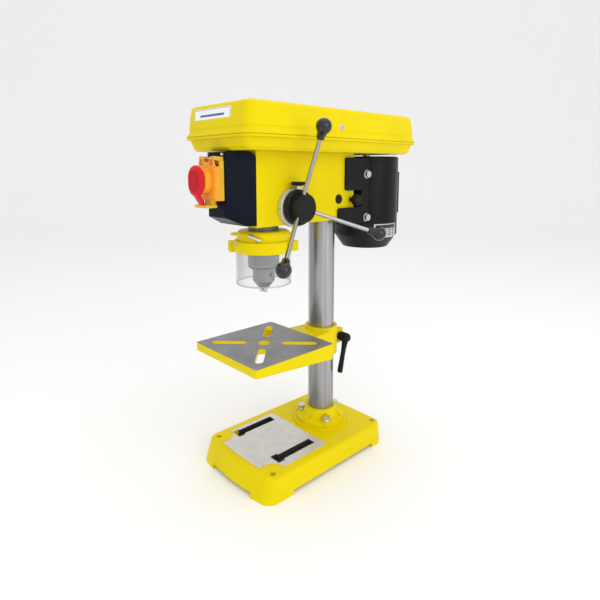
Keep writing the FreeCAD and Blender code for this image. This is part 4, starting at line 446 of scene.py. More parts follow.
navyCoat = moulded("near_black_cover", (0.002, 0.0035, 0.010), 0.36, pitch=0.9, deep=0.014, edge=1.0, gloss=0.09)
orange = moulded("orange_plastic", (0.84, 0.33, 0.02), 0.36, pitch=0.8, deep=0.006, edge=0.6, coat=0.05, lift=1.08)
# a darker orange used only for the painted shadow under the cover's lobes
shadowOrange = moulded("painted_shadow_orange", (0.62, 0.18, 0.01), 0.5, pitch=0.8, deep=0.008, edge=0.3, lift=1.1)
amber = moulded("amber_plastic", (0.66, 0.42, 0.02), 0.38, pitch=0.8, deep=0.006, edge=0.6, coat=0.05, lift=1.08)
red = moulded("red_plastic", (0.62, 0.006, 0.016), 0.3, pitch=1.2, deep=0.005, edge=0.6, coat=0.03, lift=1.1,
              gloss=0.14)
deepRed = moulded("deep_red_plastic", (0.46, 0.006, 0.018), 0.34, pitch=1.2, deep=0.005, edge=0.4, lift=1.1,
                  gloss=0.1)
green = moulded("green_plastic", (0.01, 0.26, 0.05), 0.28, pitch=1.2, deep=0.008, edge=0.4, coat=0.3)
ringFinish = graduated("graduated_ring")
shieldFinish = clearShield("clear_shield")
shieldEdge = clearShield("clear_shield_edge", 0.55)
beltFinish = rubber("belt_rubber")
plateFinish = plateFace("blank_name_plate")
ratingFinish = ratingFace("ruled_rating_plate")
coreFinish = stacked("stacked_core")

finishes = {
    yellowSheet: ["belt_pan", "belt_lid", "guard_ring", "guard_clamp"],
    yellowCast: ["column_flange", "head_casting"],
    yellowTable: ["table"],
    yellowBase: ["base_casting"],
    columnFinish: ["column"],
    darkSteel: ["quill"],
    chuckFinish: ["chuck_body", "chuck_sleeve"],
    groundZ: ["spindle", "chuck_jaw_1", "chuck_jaw_2", "chuck_jaw_3", "drive_sleeve",
              "motor_rotor", "quill_bearings", "sleeve_bearing", "motor_bearings"],
    groundX: ["pinion"],
    groundY: ["slide_bars", "column_set_screw"],
    zinc: ["flange_bolts", "front_cover_screws", "switch_hinge_pin", "lid_hinge_pins", "lid_screw", "guard_screws",
           "motor_bolts"],
    rodFinish: ["feed_rods"],
    blued: ["return_spring"],
    ringFinish: ["depth_ring"],
    blackPlastic: ["feed_hub", "ring_lock_knob", "table_lock_lever", "tension_lock_knob", "spring_nut",
                   "motor_fan_cover", "motor_fan", "capacitor_box"],
    blackGloss: ["feed_knobs"],
    blackCoat: ["motor_shell", "motor_top_cap", "motor_bracket", "spring_housing"],
    navyCoat: ["front_cover"],
    amber: ["switch_housing"],
    orange: ["flip_cover"],
    red: ["stop_paddle", "stop_button"],
    green: ["start_button"],
    shieldFinish: ["guard_shield"],
    alloy: ["spindle_pulley", "motor_pulley"],
    beltFinish: ["v_belt"],
    plateFinish: ["name_plate"],
    ratingFinish: ["rating_plate"],
    coreFinish: ["motor_stator"],
}
for finish, members in finishes.items():
    for member in members:
        if not nodes[member].material_slots:
            nodes[member].data.materials.append(None)
        for holder in nodes[member].material_slots:
            holder.material = finish
print("finishes set")


# shapes, in millimetres: each is a list of points and a list of faces

mostOfSide = 0.45
tubeStart = [(0.45, 0.0), (0.85, 0.12), (1.0, 0.4)]
tubeEnd = [(1.0, -0.4), (0.85, -0.12), (0.45, 0.0)]


def eased(points, radius, steps=4, closed=True):
    # a flat outline with its corners rounded, by no more than a share of the sides beside them
    made = []
    last = len(points) - 1
    for number, point in enumerate(points):
        here = Vector(point)
        if not closed and number in (0, last):
            made.append(here)
            continue
        back = Vector(points[number - 1]) - here
        on = Vector(points[(number + 1) % len(points)]) - here
        reach = min(radius, back.length * mostOfSide, on.length * mostOfSide)
        start, end = here + back.normalized() * reach, here + on.normalized() * reach
        for step in range(steps + 1):
            t = step / steps
            made.append(start * (1 - t) ** 2 + here * 2 * t * (1 - t) + end * t * t)
    return made


def roundedPlan(half, front, rear, corner, steps=10):
    # a rectangle seen from above with rounded corners
    made = []
    for x, y, start in ((half - corner, rear - corner, 0), (-half + corner, rear - corner, 90),
                        (-half + corner, front + corner, 180), (half - corner, front + corner, 270)):
        for step in range(steps + 1):
            angle = math.radians(start + 90 * step / steps)
            made.append((x + corner * math.cos(angle), y + corner * math.sin(angle)))
    return made


def turns(count):
    return [2 * math.pi * step / count for step in range(count)]


def loft(loops, closed=False):
    # skin over loops of equal length, capped at both ends unless the loops close on themselves
    points = [Vector(point) for loop in loops for point in loop]
    count = len(loops[0])
    faces = []
    for row in range(len(loops) if closed else len(loops) - 1):
        here, there = row * count, (row + 1) % len(loops) * count
        for i in range(count):
            j = (i + 1) % count
            faces.append((here + i, here + j, there + j, there + i))
    if not closed:
        faces.append(tuple(range(count)))
        faces.append(tuple(range((len(loops) - 1) * count, len(loops) * count)))
    return points, faces


def frameOf(axis):
    # two directions across an axis, and the axis itself
    turn = Vector(axis).normalized().to_track_quat("Z", "Y").to_matrix()
    return turn.col[0], turn.col[1], turn.col[2]


def turned(profile, centre, axis=(0, 0, 1), steps=64, wave=None, closed=False):
    # a profile of (radius, along) turned about an axis; wave changes the radius with the angle
    across, over, along = frameOf(axis)
    loops = []
    for radius, high in profile:
        loop = []
        for angle in turns(steps):
            far = radius + (wave(angle, high, radius) if wave else 0)
            loop.append(Vector(centre) + along * high + (across * math.cos(angle) + over * math.sin(angle)) * far)
        loops.append(loop)
    return loft(loops, closed)


def ringTurned(profile, centre, axis, steps):
    return turned(profile, centre, axis, steps, closed=True)


def rounded(inner, outer, low, high, rounding, steps=4, closed=True):
    # a rectangle with rounded corners, also the profile of a tube about an axis
    return eased([(inner, low), (outer, low), (outer, high), (inner, high)], rounding, steps, closed)


def tube(path, radii, sides=24, flat=1.0):
    # a round bar along a path, a radius for each point, its ends rounded over
    loops = []
    for number, point in enumerate(path):
        way = (path[min(number + 1, len(path) - 1)] - path[max(number - 1, 0)]).normalized()
        across, over, along = frameOf(way)
        radius = radii[number]
        caps = [(1.0, 0.0)]
        if number == 0:
            caps = tubeStart
        if number == len(path) - 1:
            caps = tubeEnd
        for share, shift in caps:
            middle = point + along * shift * radius
            loops.append([middle + (across * math.cos(a) + over * math.sin(a) * flat) * radius * share
                          for a in turns(sides)])
    return loft(loops)


def prism(outline, low, high, plane="xy"):
    # an outline pushed from low to high; plane names the outline's two axes
    def at(u, v, w):
        return {"xy": (u, v, w), "xz": (u, w, v)}[plane]
    return loft([[at(u, v, low) for u, v in outline], [at(u, v, high) for u, v in outline]])


def block(low, high):
    return prism([(low[0], low[1]), (high[0], low[1]), (high[0], high[1]), (low[0], high[1])], low[2], high[2])


def mirrored(low, high):
    # a block on the right, after its mirror image on the left
    return [block((-high[0], low[1], low[2]), (-low[0], high[1], high[2])), block(low, high)]


def joined(*shapes):
    points, faces = [], []
    for shapePoints, shapeFaces in shapes:
        faces += [tuple(i + len(points) for i in face) for face in shapeFaces]
        points += shapePoints
    return points, faces


# points this near, in millimetres, become one
merge = 0.002
bevelling = {"segments": 3, "from": 30}


def piece(name, shape, finish, body, replaces=(), bevel=0.0, smooth=38):
    # smooth is the angle in degrees past which an edge is drawn sharp
    points, faces = shape
    data = bpy.data.meshes.new(name)
    data.from_pydata([Vector(point) * mm for point in points], [], faces)
    form = bmesh.new()
    form.from_mesh(data)
    bmesh.ops.remove_doubles(form, verts=form.verts, dist=merge * mm)
    bmesh.ops.recalc_face_normals(form, faces=form.faces)
    form.to_mesh(data)
    form.free()
    data.shade_smooth()
    data.set_sharp_from_angle(angle=math.radians(smooth))
    data.materials.append(finish)
    made = bpy.data.objects.new(name, data)
    bpy.context.scene.collection.objects.link(made)
    if bevel:
        edge = made.modifiers.new("edge", "BEVEL")
        edge.width = bevel * mm
        edge.segments = bevelling["segments"]
        edge.limit_method = "ANGLE"
        edge.angle_limit = math.radians(bevelling["from"])
    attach(made, body)
    if replaces:
        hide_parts(*replaces)


# belt cover

# the lid's two profiles run from the seam upward, as (inset from the plan, height over the seam)
lid = {
    "corner": 24.0, "leastCorner": 3.0, "cornerSteps": 12, "knuckleIn": 12.0, "knuckleHalf": 3.9,
    "bore": 1.6, "barrel": 2.7, "rounding": 0.3, "leafFrom": 1.8, "leafTo": -82.4, "leafLow": 0.6, "leafHigh": 2.5,
}
lidOutside = [(3.4, 0.2), (1.5, 0.2), (0.6, 0.8), (0.4, 1.9), (0.8, 3.1), (1.9, 3.9), (3.2, 4.9), (4.1, 6.8),
              (4.7, 9.4), (4.9, 11.2), (4.3, 12.1), (4.5, 13.2), (6.5, 33.6), (7.4, 34.6), (7.8, 36.0), (8.2, 40.2),
              (9.0, 42.6), (11.0, 44.8), (14.2, 46.1), (18.0, 46.3), (29.0, 46.3), (31.0, 45.6), (34.0, 45.3)]
lidInside = [(36.0, 43.4), (17.0, 43.6), (12.4, 42.2), (10.4, 39.4), (9.6, 35.0), (7.0, 12.0), (6.0, 6.4),
             (4.6, 3.6), (3.6, 1.4)]


def coverLoop(inset, high):
    low, top = span("belt_pan")
    corner = max(lid["corner"] - inset, lid["leastCorner"])
    plan = roundedPlan(top.x - inset, low.y + inset, top.y - inset, corner, lid["cornerSteps"])
    return [(x, y, high) for x, y in plan]


def makeLid():
    low, high = span("lid_hinge_pins")
    hingeX, _, seam = middleOf("lid_hinge_pins")
    shell = loft([coverLoop(inset, seam + up) for inset, up in lidInside + lidOutside])
    piece("belt_lid_shell", shell, yellowSheet, "lid", ["belt_lid"], smooth=50)
    knuckles = []
    half = lid["knuckleHalf"]
    barrel = rounded(lid["bore"], lid["barrel"], -half, half, lid["rounding"])
    for middle in (low.y + lid["knuckleIn"], high.y - lid["knuckleIn"]):
        knuckles.append(ringTurned(barrel, (hingeX, middle, seam), (0, 1, 0), 32))
        knuckles.append(block((hingeX + lid["leafFrom"], middle - half, seam + lid["leafLow"]),
                              (lid["leafTo"], middle + half, seam + lid["leafHigh"])))
    piece("lid_knuckles", joined(*knuckles), yellowSheet, "lid", smooth=35)


bead = {"inset": 1.85, "radius": 2.05, "overHinge": 1.5, "drop": 1.95, "sides": 14}


def makePanBead():
    # the rolled edge round the pan's rim
    middle = span("lid_hinge_pins")[0].z + bead["overHinge"] - bead["drop"]
    radius = bead["radius"]
    loops = []
    for angle in turns(bead["sides"]):
        loops.append(coverLoop(bead["inset"] - radius * math.cos(angle), middle + radius * math.sin(angle)))
    piece("belt_pan_rolled_edge", loft(loops, closed=True), yellowSheet, "stand", smooth=60)


makeLid()
makePanBead()
print("belt cover made")


# switch

cover = {
    "foot": 452.0, "sideTo": 461.0, "corner": 3.0, "cut": 0.9, "footAt": (-14.0, -7.0, 0.0, 7.0, 14.0),
    "rounding": [(1.6, 0.0), (0.6, 0.3), (0.1, 0.9)], "behind": (0.8, 0.05), "hole": 5.6,
    "wall": 2.0, "skin": 1.9, "tuck": 0.6, "sideTop": 499.0, "roof": 1.4,
}
# the cover's right half, from its lower corner up over one finger lobe to the middle
lobes = [(23.0, 470.0), (23.0, 484.0), (23.0, 497.0), (22.2, 500.2), (20.7, 502.6), (19.5, 505.4), (18.5, 508.6),
         (17.0, 511.6), (15.0, 513.4), (12.6, 513.7), (10.4, 512.5), (8.4, 510.0), (6.2, 507.9), (3.4, 506.8),
         (0.0, 506.5)]
coverHinge = {
    "across": 9.8, "half": 4.1, "bore": 1.25, "barrel": 2.9, "rounding": 0.4, "leaf": (2.6, 0.4), "short": 1.4,
}


def oval(half, tall, middle, count=56):
    # a flat-sided oval, half wide to each side and tall high
    straight = tall / 2 - half
    loop = []
    for step in range(count):
        angle = 2 * math.pi * (step + 0.5) / count
        high = half * math.sin(angle) + math.copysign(straight, math.sin(angle))
        loop.append((half * math.cos(angle), middle + high))
    return loop


def level(points, y):
    return [(x, y, z) for x, z in points]


def holeIn(outline, middle):
    # the stem's round hole, with one point for each of the outline's
    ring = []
    for x, z in outline:
        out = (Vector((x, z)) - middle).normalized() * cover["hole"]
        ring.append((out.x, middle.y + out.y))
    return ring


def stemMiddle():
    return Vector((0, middleOf("stop_button").z))


def makeCover():
    low, high = span("flip_cover")
    half, front, back, foot = high.x, low.y, high.y, cover["foot"]
    corner, cut, wall = cover["corner"], cover["cut"], cover["wall"]
    middle = stemMiddle()
    right = [(half, foot + corner), (half, cover["sideTo"])] + lobes
    outline = right + [(-x, z) for x, z in reversed(right[:-1])]
    outline += [(-half + cut, foot + cut), (-half + corner, foot)] + [(x, foot) for x in cover["footAt"]]
    outline += [(half - corner, foot), (half - cut, foot + cut)]

    def inset(far):
        made = []
        for x, z in outline:
            out = Vector((x, z)) - middle
            made.append(middle + out.normalized() * (out.length - far))
        return made

    ring = holeIn(outline, middle)
    skin = front + cover["skin"]
    behind, deeper = cover["behind"]
    face = loft([level(ring, front)] + [level(inset(far), front + deep) for far, deep in cover["rounding"]]
                + [level(outline, skin), level(inset(behind), skin + deeper), level(ring, skin)], closed=True)
    top, near = cover["sideTop"], skin - cover["tuck"]
    roof = top + cover["roof"]
    sides = mirrored((half - wall, near, foot + wall), (half, back, top))
    sides += [block((-half + wall, near, z), (half - wall, back, z + wall)) for z in (foot, roof - wall)]
    _, hingeY, hingeZ = middleOf("switch_hinge_pin")
    long = coverHinge["half"]
    barrel = rounded(coverHinge["bore"], coverHinge["barrel"], -long, long, coverHinge["rounding"])
    under, over = coverHinge["leaf"]
    for side in (-1, 1):
        across = side * coverHinge["across"]
        sides.append(ringTurned(barrel, (across, hingeY, hingeZ), (1, 0, 0), 32))
        sides.append(block((across - long, near, hingeZ - under),
                           (across + long, hingeY - coverHinge["short"], hingeZ - over)))
    piece("flip_cover_lid", joined(face, *sides), orange, "flip_cover", ["flip_cover"], smooth=40)


disc = {
    "tall": 44.0, "deep": 7.0, "stem": 4.8, "stemEnd": 4.4, "stemIn": 0.2,
    "neckTop": [(-15.0, 6.4, -0.6, -5.4), (-21.0, 6.2, 1.4, -4.2)],
    "neckFoot": [(8.0, 5.8, 6.0, 0.4), (2.4, 5.2, 8.4, 3.6), (0.4, 4.6, 8.2, 4.2)],
}
# each row of the disc is its oval scaled by a share, at a depth from the disc's back
discRows = [(0.5, 0.4), (0.88, 0.2), (0.97, -0.7), (1.0, -2.0), (1.0, -3.4), (0.985, -4.7), (0.95, -5.7),
            (0.90, -6.3), (0.84, -6.6), (0.77, -6.7), (0.72, -6.7), (0.69, -6.5), (0.67, -6.1), (0.66, -5.7),
            (0.64, -5.5), (0.5, -5.45), (0.3, -5.4)]
discMiddleRows = [(0.645, -5.3), (0.64, -5.75), (0.61, -5.95), (0.3, -6.05)]

boss = {"half": 14.5, "tall": 36.0, "clear": 3.2, "sunk": 0.4, "rounding": 1.0, "inner": (0.93, 0.95), "flare": 1.03}


def makeBoss():
    # the raised oval boss behind the disc, bored for the stem, clear of the disc by more than its travel
    front = span("flip_cover")[0].y
    low, high = span("stop_paddle")
    face = low.y + disc["deep"] + boss["clear"]
    middle = high.z - disc["tall"] / 2
    foot = front + boss["sunk"]
    rim = oval(boss["half"], boss["tall"], middle)
    bore = holeIn(rim, stemMiddle())
    wide, tall = boss["inner"]
    inner = [(x * wide, middle + (z - middle) * tall) for x, z in rim]
    flared = [(x * boss["flare"], z) for x, z in rim]
    shape = loft([level(bore, foot), level(bore, face), level(inner, face), level(rim, face + boss["rounding"]),
                  level(flared, foot)], closed=True)
    piece("flip_cover_boss", shape, orange, "flip_cover", smooth=40)


panel = {"inner": 13.0, "outer": 19.6, "overFoot": 3.0, "top": 498.0, "rounding": 1.4, "proud": 0.5, "sunk": 0.4}
# the arches of painted shadow under the cover's lobes
archShadow = {
    "across": 13.4, "half": 3.9, "low": 502.4, "middle": 506.4, "arch": 4.4, "steps": 12, "proud": 0.25, "sunk": 0.4,
}


def makePanels():
    # two raised panels, and under the lobes two arched patches of darker orange that are painted shadow
    front = span("flip_cover")[0].y
    foot = cover["foot"] + panel["overFoot"]
    right = rounded(panel["inner"], panel["outer"], foot, panel["top"], panel["rounding"])
    left = [(-x, z) for x, z in reversed(right)]
    panels = [prism(outline, front - panel["proud"], front + panel["sunk"], "xz") for outline in (right, left)]
    piece("flip_cover_panels", joined(*panels), orange, "flip_cover", bevel=0.4)
    # painted shadow: thin darker orange arches, just proud of the face, under the lobes
    archShadows = []
    half = archShadow["half"]
    for side in (-1, 1):
        middle = side * archShadow["across"]
        arch = [(middle - half, archShadow["low"]), (middle + half, archShadow["low"])]
        for step in range(archShadow["steps"] + 1):
            angle = math.pi * step / archShadow["steps"]
            arch.append((middle + half * math.cos(angle), archShadow["middle"] + archShadow["arch"] * math.sin(angle)))
        archShadows.append(prism(arch, front - archShadow["proud"], front + archShadow["sunk"], "xz"))
    piece("flip_cover_painted_arch_shadows", joined(*archShadows), shadowOrange, "flip_cover", bevel=0.2)


catch = {
    "rise": 4.0, "armIn": 9.5, "armOut": 15.5, "reach": 9.0, "lip": (11.0, 7.6), "short": 1.0, "step": 1.0,
    "tieHalf": 13.0, "tie": 4.0, "cheekIn": 9.0, "cheekOut": 16.5, "cheek": (0.6, 1.8), "into": 2.0,
}


def makeCatch():
    # the catch under the cover: a slotted ledge on two arms
    low, high = span("flip_cover")
    front, back, ledge = low.y, high.y - catch["short"], low.z
    top, raised, into = ledge + catch["rise"], ledge + catch["step"], cover["foot"] + catch["into"]
    armIn, armOut, tieHalf = catch["armIn"], catch["armOut"], catch["tieHalf"]
    lipFront, lipBack = catch["lip"]
    cheekFront, cheekBack = catch["cheek"]
    bars = mirrored((armIn, front - catch["reach"], ledge), (armOut, back, top))
    bars.append(block((-armOut, front - lipFront, ledge), (armOut, front - lipBack, top)))
    bars.append(block((-tieHalf, high.y - catch["tie"], raised), (tieHalf, back, into)))
    bars += mirrored((catch["cheekIn"], front - cheekFront, raised), (catch["cheekOut"], front + cheekBack, into))
    piece("flip_cover_catch", joined(*bars), amber, "flip_cover", bevel=0.8)


def makeDisc():
    low, high = span("stop_paddle")
    half, tall = high.x, disc["tall"]
    middle, back = high.z - tall / 2, low.y + disc["deep"]

    def ovals(rows):
        return loft([level(oval(half * share, tall * share, middle), back + y) for share, y in rows])

    into, radius, far = disc["stemIn"], disc["stem"], high.y - back
    profile = [(2, -into), (disc["stemEnd"], -into), (radius, 0.4), (radius, far), (2, far)]
    stem = turned(profile, (0, back - into, stemMiddle().y), (0, 1, 0), 48)
    piece("stop_disc", joined(ovals(discRows), stem), red, "stop_paddle", ["stop_paddle"], smooth=50)
    piece("stop_disc_middle", ovals(discMiddleRows), deepRed, "stop_paddle", smooth=50)
    rows = [(middle + up, *rest) for up, *rest in disc["neckTop"]]
    rows += [(low.z + up, *rest) for up, *rest in disc["neckFoot"]]
    neck = []
    for z, wide, rear, fore in rows:
        rear, fore = back + rear, back + fore
        neck.append([(-wide, rear, z), (wide, rear, z), (wide, fore, z), (-wide, fore, z)])
    piece("stop_disc_neck", loft(neck), red, "stop_paddle", bevel=1.2)


makeCover()
makeBoss()
makePanels()
makeCatch()
makeDisc()
print("switch made")


# feed handle knobs

# angle turns the three rods about the pinion and lean tips them outward
# the collar is a list of (past the foot's radius, behind the ball)
feed = {
    "angle": 98.6, "lean": 29.5, "reach": 118.5, "root": 15.0, "disc": 8.0, "rod": 3.2, "gap": 0.2,
    "ball": 11.3, "neck": 7.4, "foot": 5.6, "collar": [(-0.5, 8.0), (0.0, 7.4), (0.5, 4.0)], "mouth": 7.9,
    "steps": 20,
}


def makeKnobs():
    centre = middleOf("depth_ring")
    centre.x = middleOf("feed_hub").x + feed["disc"] / 2
    lean = math.radians(feed["lean"])
    sideways = Vector((1, 0, 0))
    ball, foot, steps = feed["ball"], feed["foot"], feed["steps"]
    start = math.asin(feed["neck"] / ball)
    profile = [(feed["rod"] + feed["gap"], -ball - feed["mouth"])]
    profile += [(foot + wider, -ball - behind) for wider, behind in feed["collar"]]
    for step in range(steps + 1):
        around = math.pi - start - (math.pi - start) * step / steps
        profile.append((max(ball * math.sin(around), 0.3), ball * math.cos(around)))
    shapes = []
    for number in range(3):
        angle = math.radians(feed["angle"] + 120 * number - 90)
        out = Vector((0, -math.sin(angle), math.cos(angle)))
        way = out * math.cos(lean) + sideways * math.sin(lean)
        middle = centre + out * feed["reach"] + sideways * (feed["reach"] - feed["root"]) * math.tan(lean)
        shapes.append(turned(profile, middle, way, 56))
    piece("feed_ball_knobs", joined(*shapes), blackGloss, "feed", ["feed_knobs"], smooth=60)


makeKnobs()
print("feed knobs made")


ringLock = {"crown": 6.1, "stem": 5.6, "bore": 2.4, "radius": 3.3, "rounding": 0.4}


def makeLockStem():
    # the bright collar on the stem of the ring lock's knob
    middle = middleOf("ring_lock_knob")
    middle.z = 0
    top = span("ring_lock_knob")[1].z - ringLock["crown"]
    profile = rounded(ringLock["bore"], ringLock["radius"], top - ringLock["stem"], top, ringLock["rounding"], 3)
    piece("ring_lock_collar", ringTurned(profile, middle, (0, 0, 1), 40), zinc, "ring_lock", smooth=40)


makeLockStem()
print("ring lock collar made")


# table lock lever

# three stretches of the turned hub, as (radius, along): from the nut's end, from the ear and from the free end
# short and seat are measured back from the part's outer end; arm is a list of (down from the hub, radius)
lock = {
    "nut": [(2.0, 0.0), (7.4, 0.0), (8.6, 0.8), (8.6, 5.6), (7.6, 6.6), (4.9, 6.8)],
    "collar": [(4.9, 0.0), (7.0, 0.1), (7.8, 0.9), (8.2, 1.9)],
    "head": [(8.2, -18.2), (7.4, -17.8), (7.4, -17.2), (8.1, -16.8), (8.1, -14.0), (8.1, -4.0), (7.2, -3.2),
             (6.6, -1.0), (5.0, -0.2), (1.5, 0.0)],
    "short": 4.0, "seat": 26.5, "knurls": 28, "knurl": 0.35, "knurlFrom": 17.0, "knurlTo": 3.5, "knurlOver": 7.5,
    "arm": [(2.0, 6.4), (8.0, 6.2), (14.0, 5.4), (22.0, 4.7), (34.0, 4.6), (48.0, 4.9), (60.0, 5.2), (65.4, 5.0)],
    "armAt": 8.0, "lean": 13.0, "flat": 0.86,
}


def makeLockLever():
    low, high = span("table_lock_lever")
    pivot = next(Vector(joint["pos_m"]) / mm for joint in joints if joint["name"] == "table_lock_turn")
    end, seat = high.x - lock["short"], high.x - lock["seat"]

    def knurl(angle, along, radius):
        if end - lock["knurlFrom"] < along < end - lock["knurlTo"] and radius > lock["knurlOver"]:
            return lock["knurl"] * math.cos(lock["knurls"] * angle)
        return 0.0

    profile = []
    for key, start in (("nut", low.x), ("collar", seat), ("head", end)):
        profile += [(radius, start + along) for radius, along in lock[key]]
    hub = turned(profile, (0, pivot.y, pivot.z), (1, 0, 0), 168, knurl)
    lean = math.radians(lock["lean"])
    down = Vector((0, -math.sin(lean), -math.cos(lean)))
    start = Vector((end - lock["armAt"], pivot.y, pivot.z))
    path, radii = [start + down * far for far, _ in lock["arm"]], [radius for _, radius in lock["arm"]]
    shape = joined(hub, tube(path, radii, 28, lock["flat"]))
    piece("table_lock_handle", shape, blackPlastic, "table_lock", ["table_lock_lever"], smooth=42)


makeLockLever()
print("table lock made")


# guard fittings

# turn is the right tab's direction in degrees, with the left one opposite
# tab is a list of (degrees from its middle, radius); the ears and the lug are lists of (degrees, past the clamp)
guard = {
    "turn": 47.0, "lift": 5.5, "bore": 42.1, "lowBore": 44.1, "outside": 46.5, "step": 373.0, "rounding": 0.8,
    "tab": [(-6.3, 45.2), (6.3, 45.2), (5.1, 56.0), (-5.1, 56.0)], "tabLow": 1.2, "tabTop": 2.0, "tabRounding": 1.6,
    "ear": [(-10.0, -3.0), (-7.0, 7.0), (-2.0, 11.0), (4.0, 9.0), (9.0, -3.0)],
    "smallEar": [(-9.0, -3.0), (-6.0, 6.0), (0.0, 9.0), (6.0, 6.0), (9.0, -3.0)],
    "earRounding": 3.0, "earLow": 8.5, "earTop": 4.5,
    "overClamp": 4.5, "lug": [(-8.0, -3.0), (-5.5, 9.0), (5.5, 9.0), (8.0, -3.0)], "lugLow": 9.0, "lugTop": 8.0,
    "barrel": 4.2, "barrelOut": 4.4, "barrelLow": 4.0, "barrelTop": 3.0,
    "pin": 2.6, "pinGap": 0.2, "pinFrom": (-68.6, 398.0), "pinTo": (-43.0, 389.5), "pinSteps": 8,
    "rim": 1.15, "rimIn": 0.9, "rimUp": 1.2, "rimSides": 12,
}


def makeGuardFittings():
    low, high = span("guard_ring")
    clampLow, clampHigh = span("guard_clamp")
    centre = middleOf("guard_clamp")
    centre.z = 0
    radius = (clampHigh.x - clampLow.x) / 2
    right, left = guard["turn"], guard["turn"] + 180

    def at(angle, far, high):
        turn = math.radians(angle)
        return centre + Vector((math.cos(turn) * far, math.sin(turn) * far, high))

    def plan(middle, corners, start, rounding):
        # a rounded outline from above, its corners given as (degrees from middle, distance past start)
        around = [at(middle + turn, start + far, 0) for turn, far in corners]
        return eased([(point.x, point.y) for point in around], rounding)

    def makeEar(name, middle, corners):
        outline = plan(middle, corners, radius, guard["earRounding"])
        ear = prism(outline, clampHigh.z - guard["earLow"], clampHigh.z - guard["earTop"])
        piece(name, ear, yellowSheet, "quill", bevel=0.8)

    # the turning ring and its two tabs
    foot = low.z + guard["lift"]
    profile = eased([(guard["lowBore"], foot), (guard["outside"], foot), (guard["outside"], high.z),
                     (guard["bore"], high.z), (guard["bore"], guard["step"]), (guard["lowBore"], guard["step"])],
                    guard["rounding"], 3)
    shapes = [ringTurned(profile, centre, (0, 0, 1), 128)]
    for middle in (right, left):
        outline = plan(middle, guard["tab"], 0, guard["tabRounding"])
        shapes.append(prism(outline, foot + guard["tabLow"], high.z - guard["tabTop"]))
    piece("guard_ring_body", joined(*shapes), yellowSheet, "guard", ["guard_ring"], bevel=0.35)
    makeEar("guard_clamp_ear", left, guard["ear"])
    # the ring's hinge lug on the left: a plate and a barrel
    over = radius + guard["overClamp"]
    outline = plan(left, guard["lug"], over, guard["earRounding"])
    lug = prism(outline, low.z + guard["lugLow"], high.z - guard["lugTop"])
    profile = rounded(0.4, guard["barrel"], low.z + guard["barrelLow"], high.z - guard["barrelTop"], 0.8, 3, False)
    barrel = turned(profile, at(left, over + guard["barrelOut"], 0), (0, 0, 1), 40)
    piece("guard_ring_lug", joined(lug, barrel), yellowSheet, "guard", bevel=0.5)
    # the thick pin that lies on the slant across the clamp's front
    path = []
    for step in range(guard["pinSteps"] + 1):
        t = step / guard["pinSteps"]
        turn, z = [start * (1 - t) + end * t for start, end in zip(guard["pinFrom"], guard["pinTo"])]
        path.append(at(turn, radius + guard["pin"] + guard["pinGap"], z))
    piece("guard_stop_pin", tube(path, [guard["pin"]] * len(path)), zinc, "quill", smooth=50)
    makeEar("guard_clamp_ear_right", right, guard["smallEar"])
    # the shield's lower rim
    shieldLow, shieldHigh = span("guard_shield")
    outer = (shieldHigh.x - shieldLow.x) / 2
    rim = guard["rim"]
    profile = [(outer - guard["rimIn"] + rim * math.cos(angle), shieldLow.z + guard["rimUp"] + rim * math.sin(angle))
               for angle in turns(guard["rimSides"])]
    shape = ringTurned(profile, centre, (0, 0, 1), 96)
    piece("guard_shield_bead", shape, shieldEdge, "guard", smooth=60)


makeGuardFittings()
print("guard fittings made")


# plug over the column set screw

plug = {"radius": 8.2, "edge": 1.0, "proud": 4.4, "start": 38.9, "steps": 8}


def makePlug():
    # a low dark dome on the head casting's right side
    middle = middleOf("column_set_screw")
    middle.x = plug["start"]
    radius, edge = plug["radius"], plug["edge"]
    profile = [(1.0, 0), (radius, 0), (radius, edge)]
    for step in range(1, plug["steps"] + 1):
        angle = math.radians(90 * step / plug["steps"])
        profile.append((max(radius * math.cos(angle), 0.3), edge + (plug["proud"] - edge) * math.sin(angle)))
    piece("column_plug", turned(profile, middle, (1, 0, 0), 48), blackPlastic, "stand", smooth=50)


makePlug()
print("plug made")


# camera, floor and light

camera = {
    "at": (604.96, -560.2, 498.0), "turn": 46.91, "dip": 8.0, "lens": 29.5, "sensor": 36, "shift": -0.1046,
    "near": 0.01, "far": 60,
}
eye = bpy.data.objects.new("camera", bpy.data.cameras.new("camera"))
bpy.context.scene.collection.objects.link(eye)
eye.location = Vector(camera["at"]) * mm
eye.rotation_euler = (math.radians(90 - camera["dip"]), 0, math.radians(camera["turn"]))
eye.data.lens = camera["lens"]
eye.data.sensor_width = camera["sensor"]
eye.data.shift_y = camera["shift"]
eye.data.clip_start = camera["near"]
eye.data.clip_end = camera["far"]
bpy.context.scene.camera = eye

# sizes in metres
studio = {
    "floor": (0.96, 0.96, 0.96), "drift": 0.99, "roughness": 0.7, "wide": 9.0, "tall": 6.0, "sweep": 1.6, "steps": 12,
}


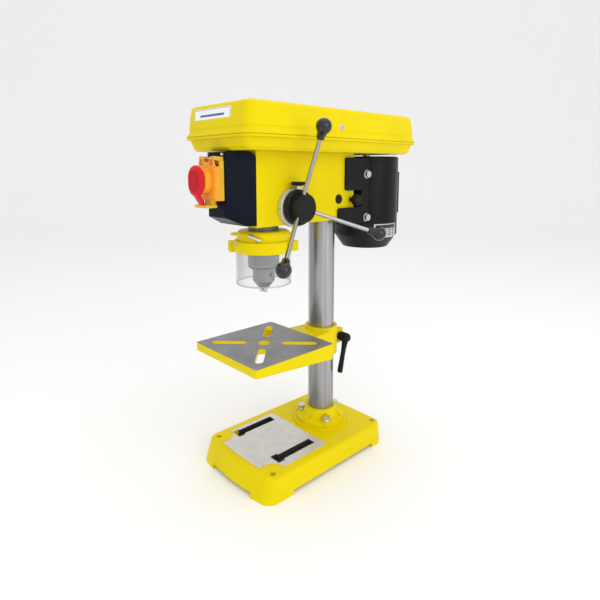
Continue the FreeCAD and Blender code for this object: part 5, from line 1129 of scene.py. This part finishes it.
def layFloor():
    # a floor that sweeps up into a wall on the far side of the camera
    f = Finish("pale_floor")
    tone = f.mix(f.grain(400.0, 2.0), shade(studio["floor"], studio["drift"]), studio["floor"])
    wide, tall, sweep, steps = studio["wide"], studio["tall"], studio["sweep"], studio["steps"]
    profile = [(-wide, 0.0)]
    for step in range(steps + 1):
        angle = math.radians(90 * step / steps)
        profile.append((wide / 2 - sweep + sweep * math.sin(angle), sweep - sweep * math.cos(angle)))
    profile.append((wide / 2, tall))
    turn = math.radians(camera["turn"])
    away = Vector((-math.sin(turn), math.cos(turn), 0))
    across = Vector((math.cos(turn), math.sin(turn), 0))
    points = [away * far + across * side + Vector((0, 0, high)) for far, high in profile for side in (-wide, wide)]
    faces = [(2 * row, 2 * row + 1, 2 * row + 3, 2 * row + 2) for row in range(len(profile) - 1)]
    data = bpy.data.meshes.new("floor")
    data.from_pydata(points, [], faces)
    data.shade_smooth()
    data.materials.append(f.skin({"Base Color": tone, "Roughness": studio["roughness"]}))
    floor = bpy.data.objects.new("floor", data)
    bpy.context.scene.collection.objects.link(floor)


lamps = {
    "key": {"from": (900, -1500, 1500), "power": 3.5, "size": 1.4},
    "right": {"from": (1700, -100, 900), "power": 8.0, "size": 1.3},
    "above": {"from": (0, 200, 2000), "power": 7.0, "size": 1.8},
}
sky = {"colour": (1, 1, 1, 1), "strength": 0.88}
lampsAim = (0, 0, 280)


def hangLamps():
    middle = Vector(lampsAim) * mm
    for name, lamp in lamps.items():
        data = bpy.data.lights.new(name, "AREA")
        data.shape = "SQUARE"
        data.size = lamp["size"]
        data.energy = lamp["power"]
        made = bpy.data.objects.new(name, data)
        made.location = Vector(lamp["from"]) * mm
        made.rotation_euler = (middle - made.location).to_track_quat("-Z", "Y").to_euler()
        bpy.context.scene.collection.objects.link(made)
    world = bpy.data.worlds.new("studio")
    bpy.context.scene.world = world
    world.use_nodes = True
    background = world.node_tree.nodes["Background"]
    background.inputs["Color"].default_value = sky["colour"]
    background.inputs["Strength"].default_value = sky["strength"]


layFloor()
hangLamps()
bpy.context.scene.view_settings.view_transform = "Standard"
print("camera, floor and lamps set")
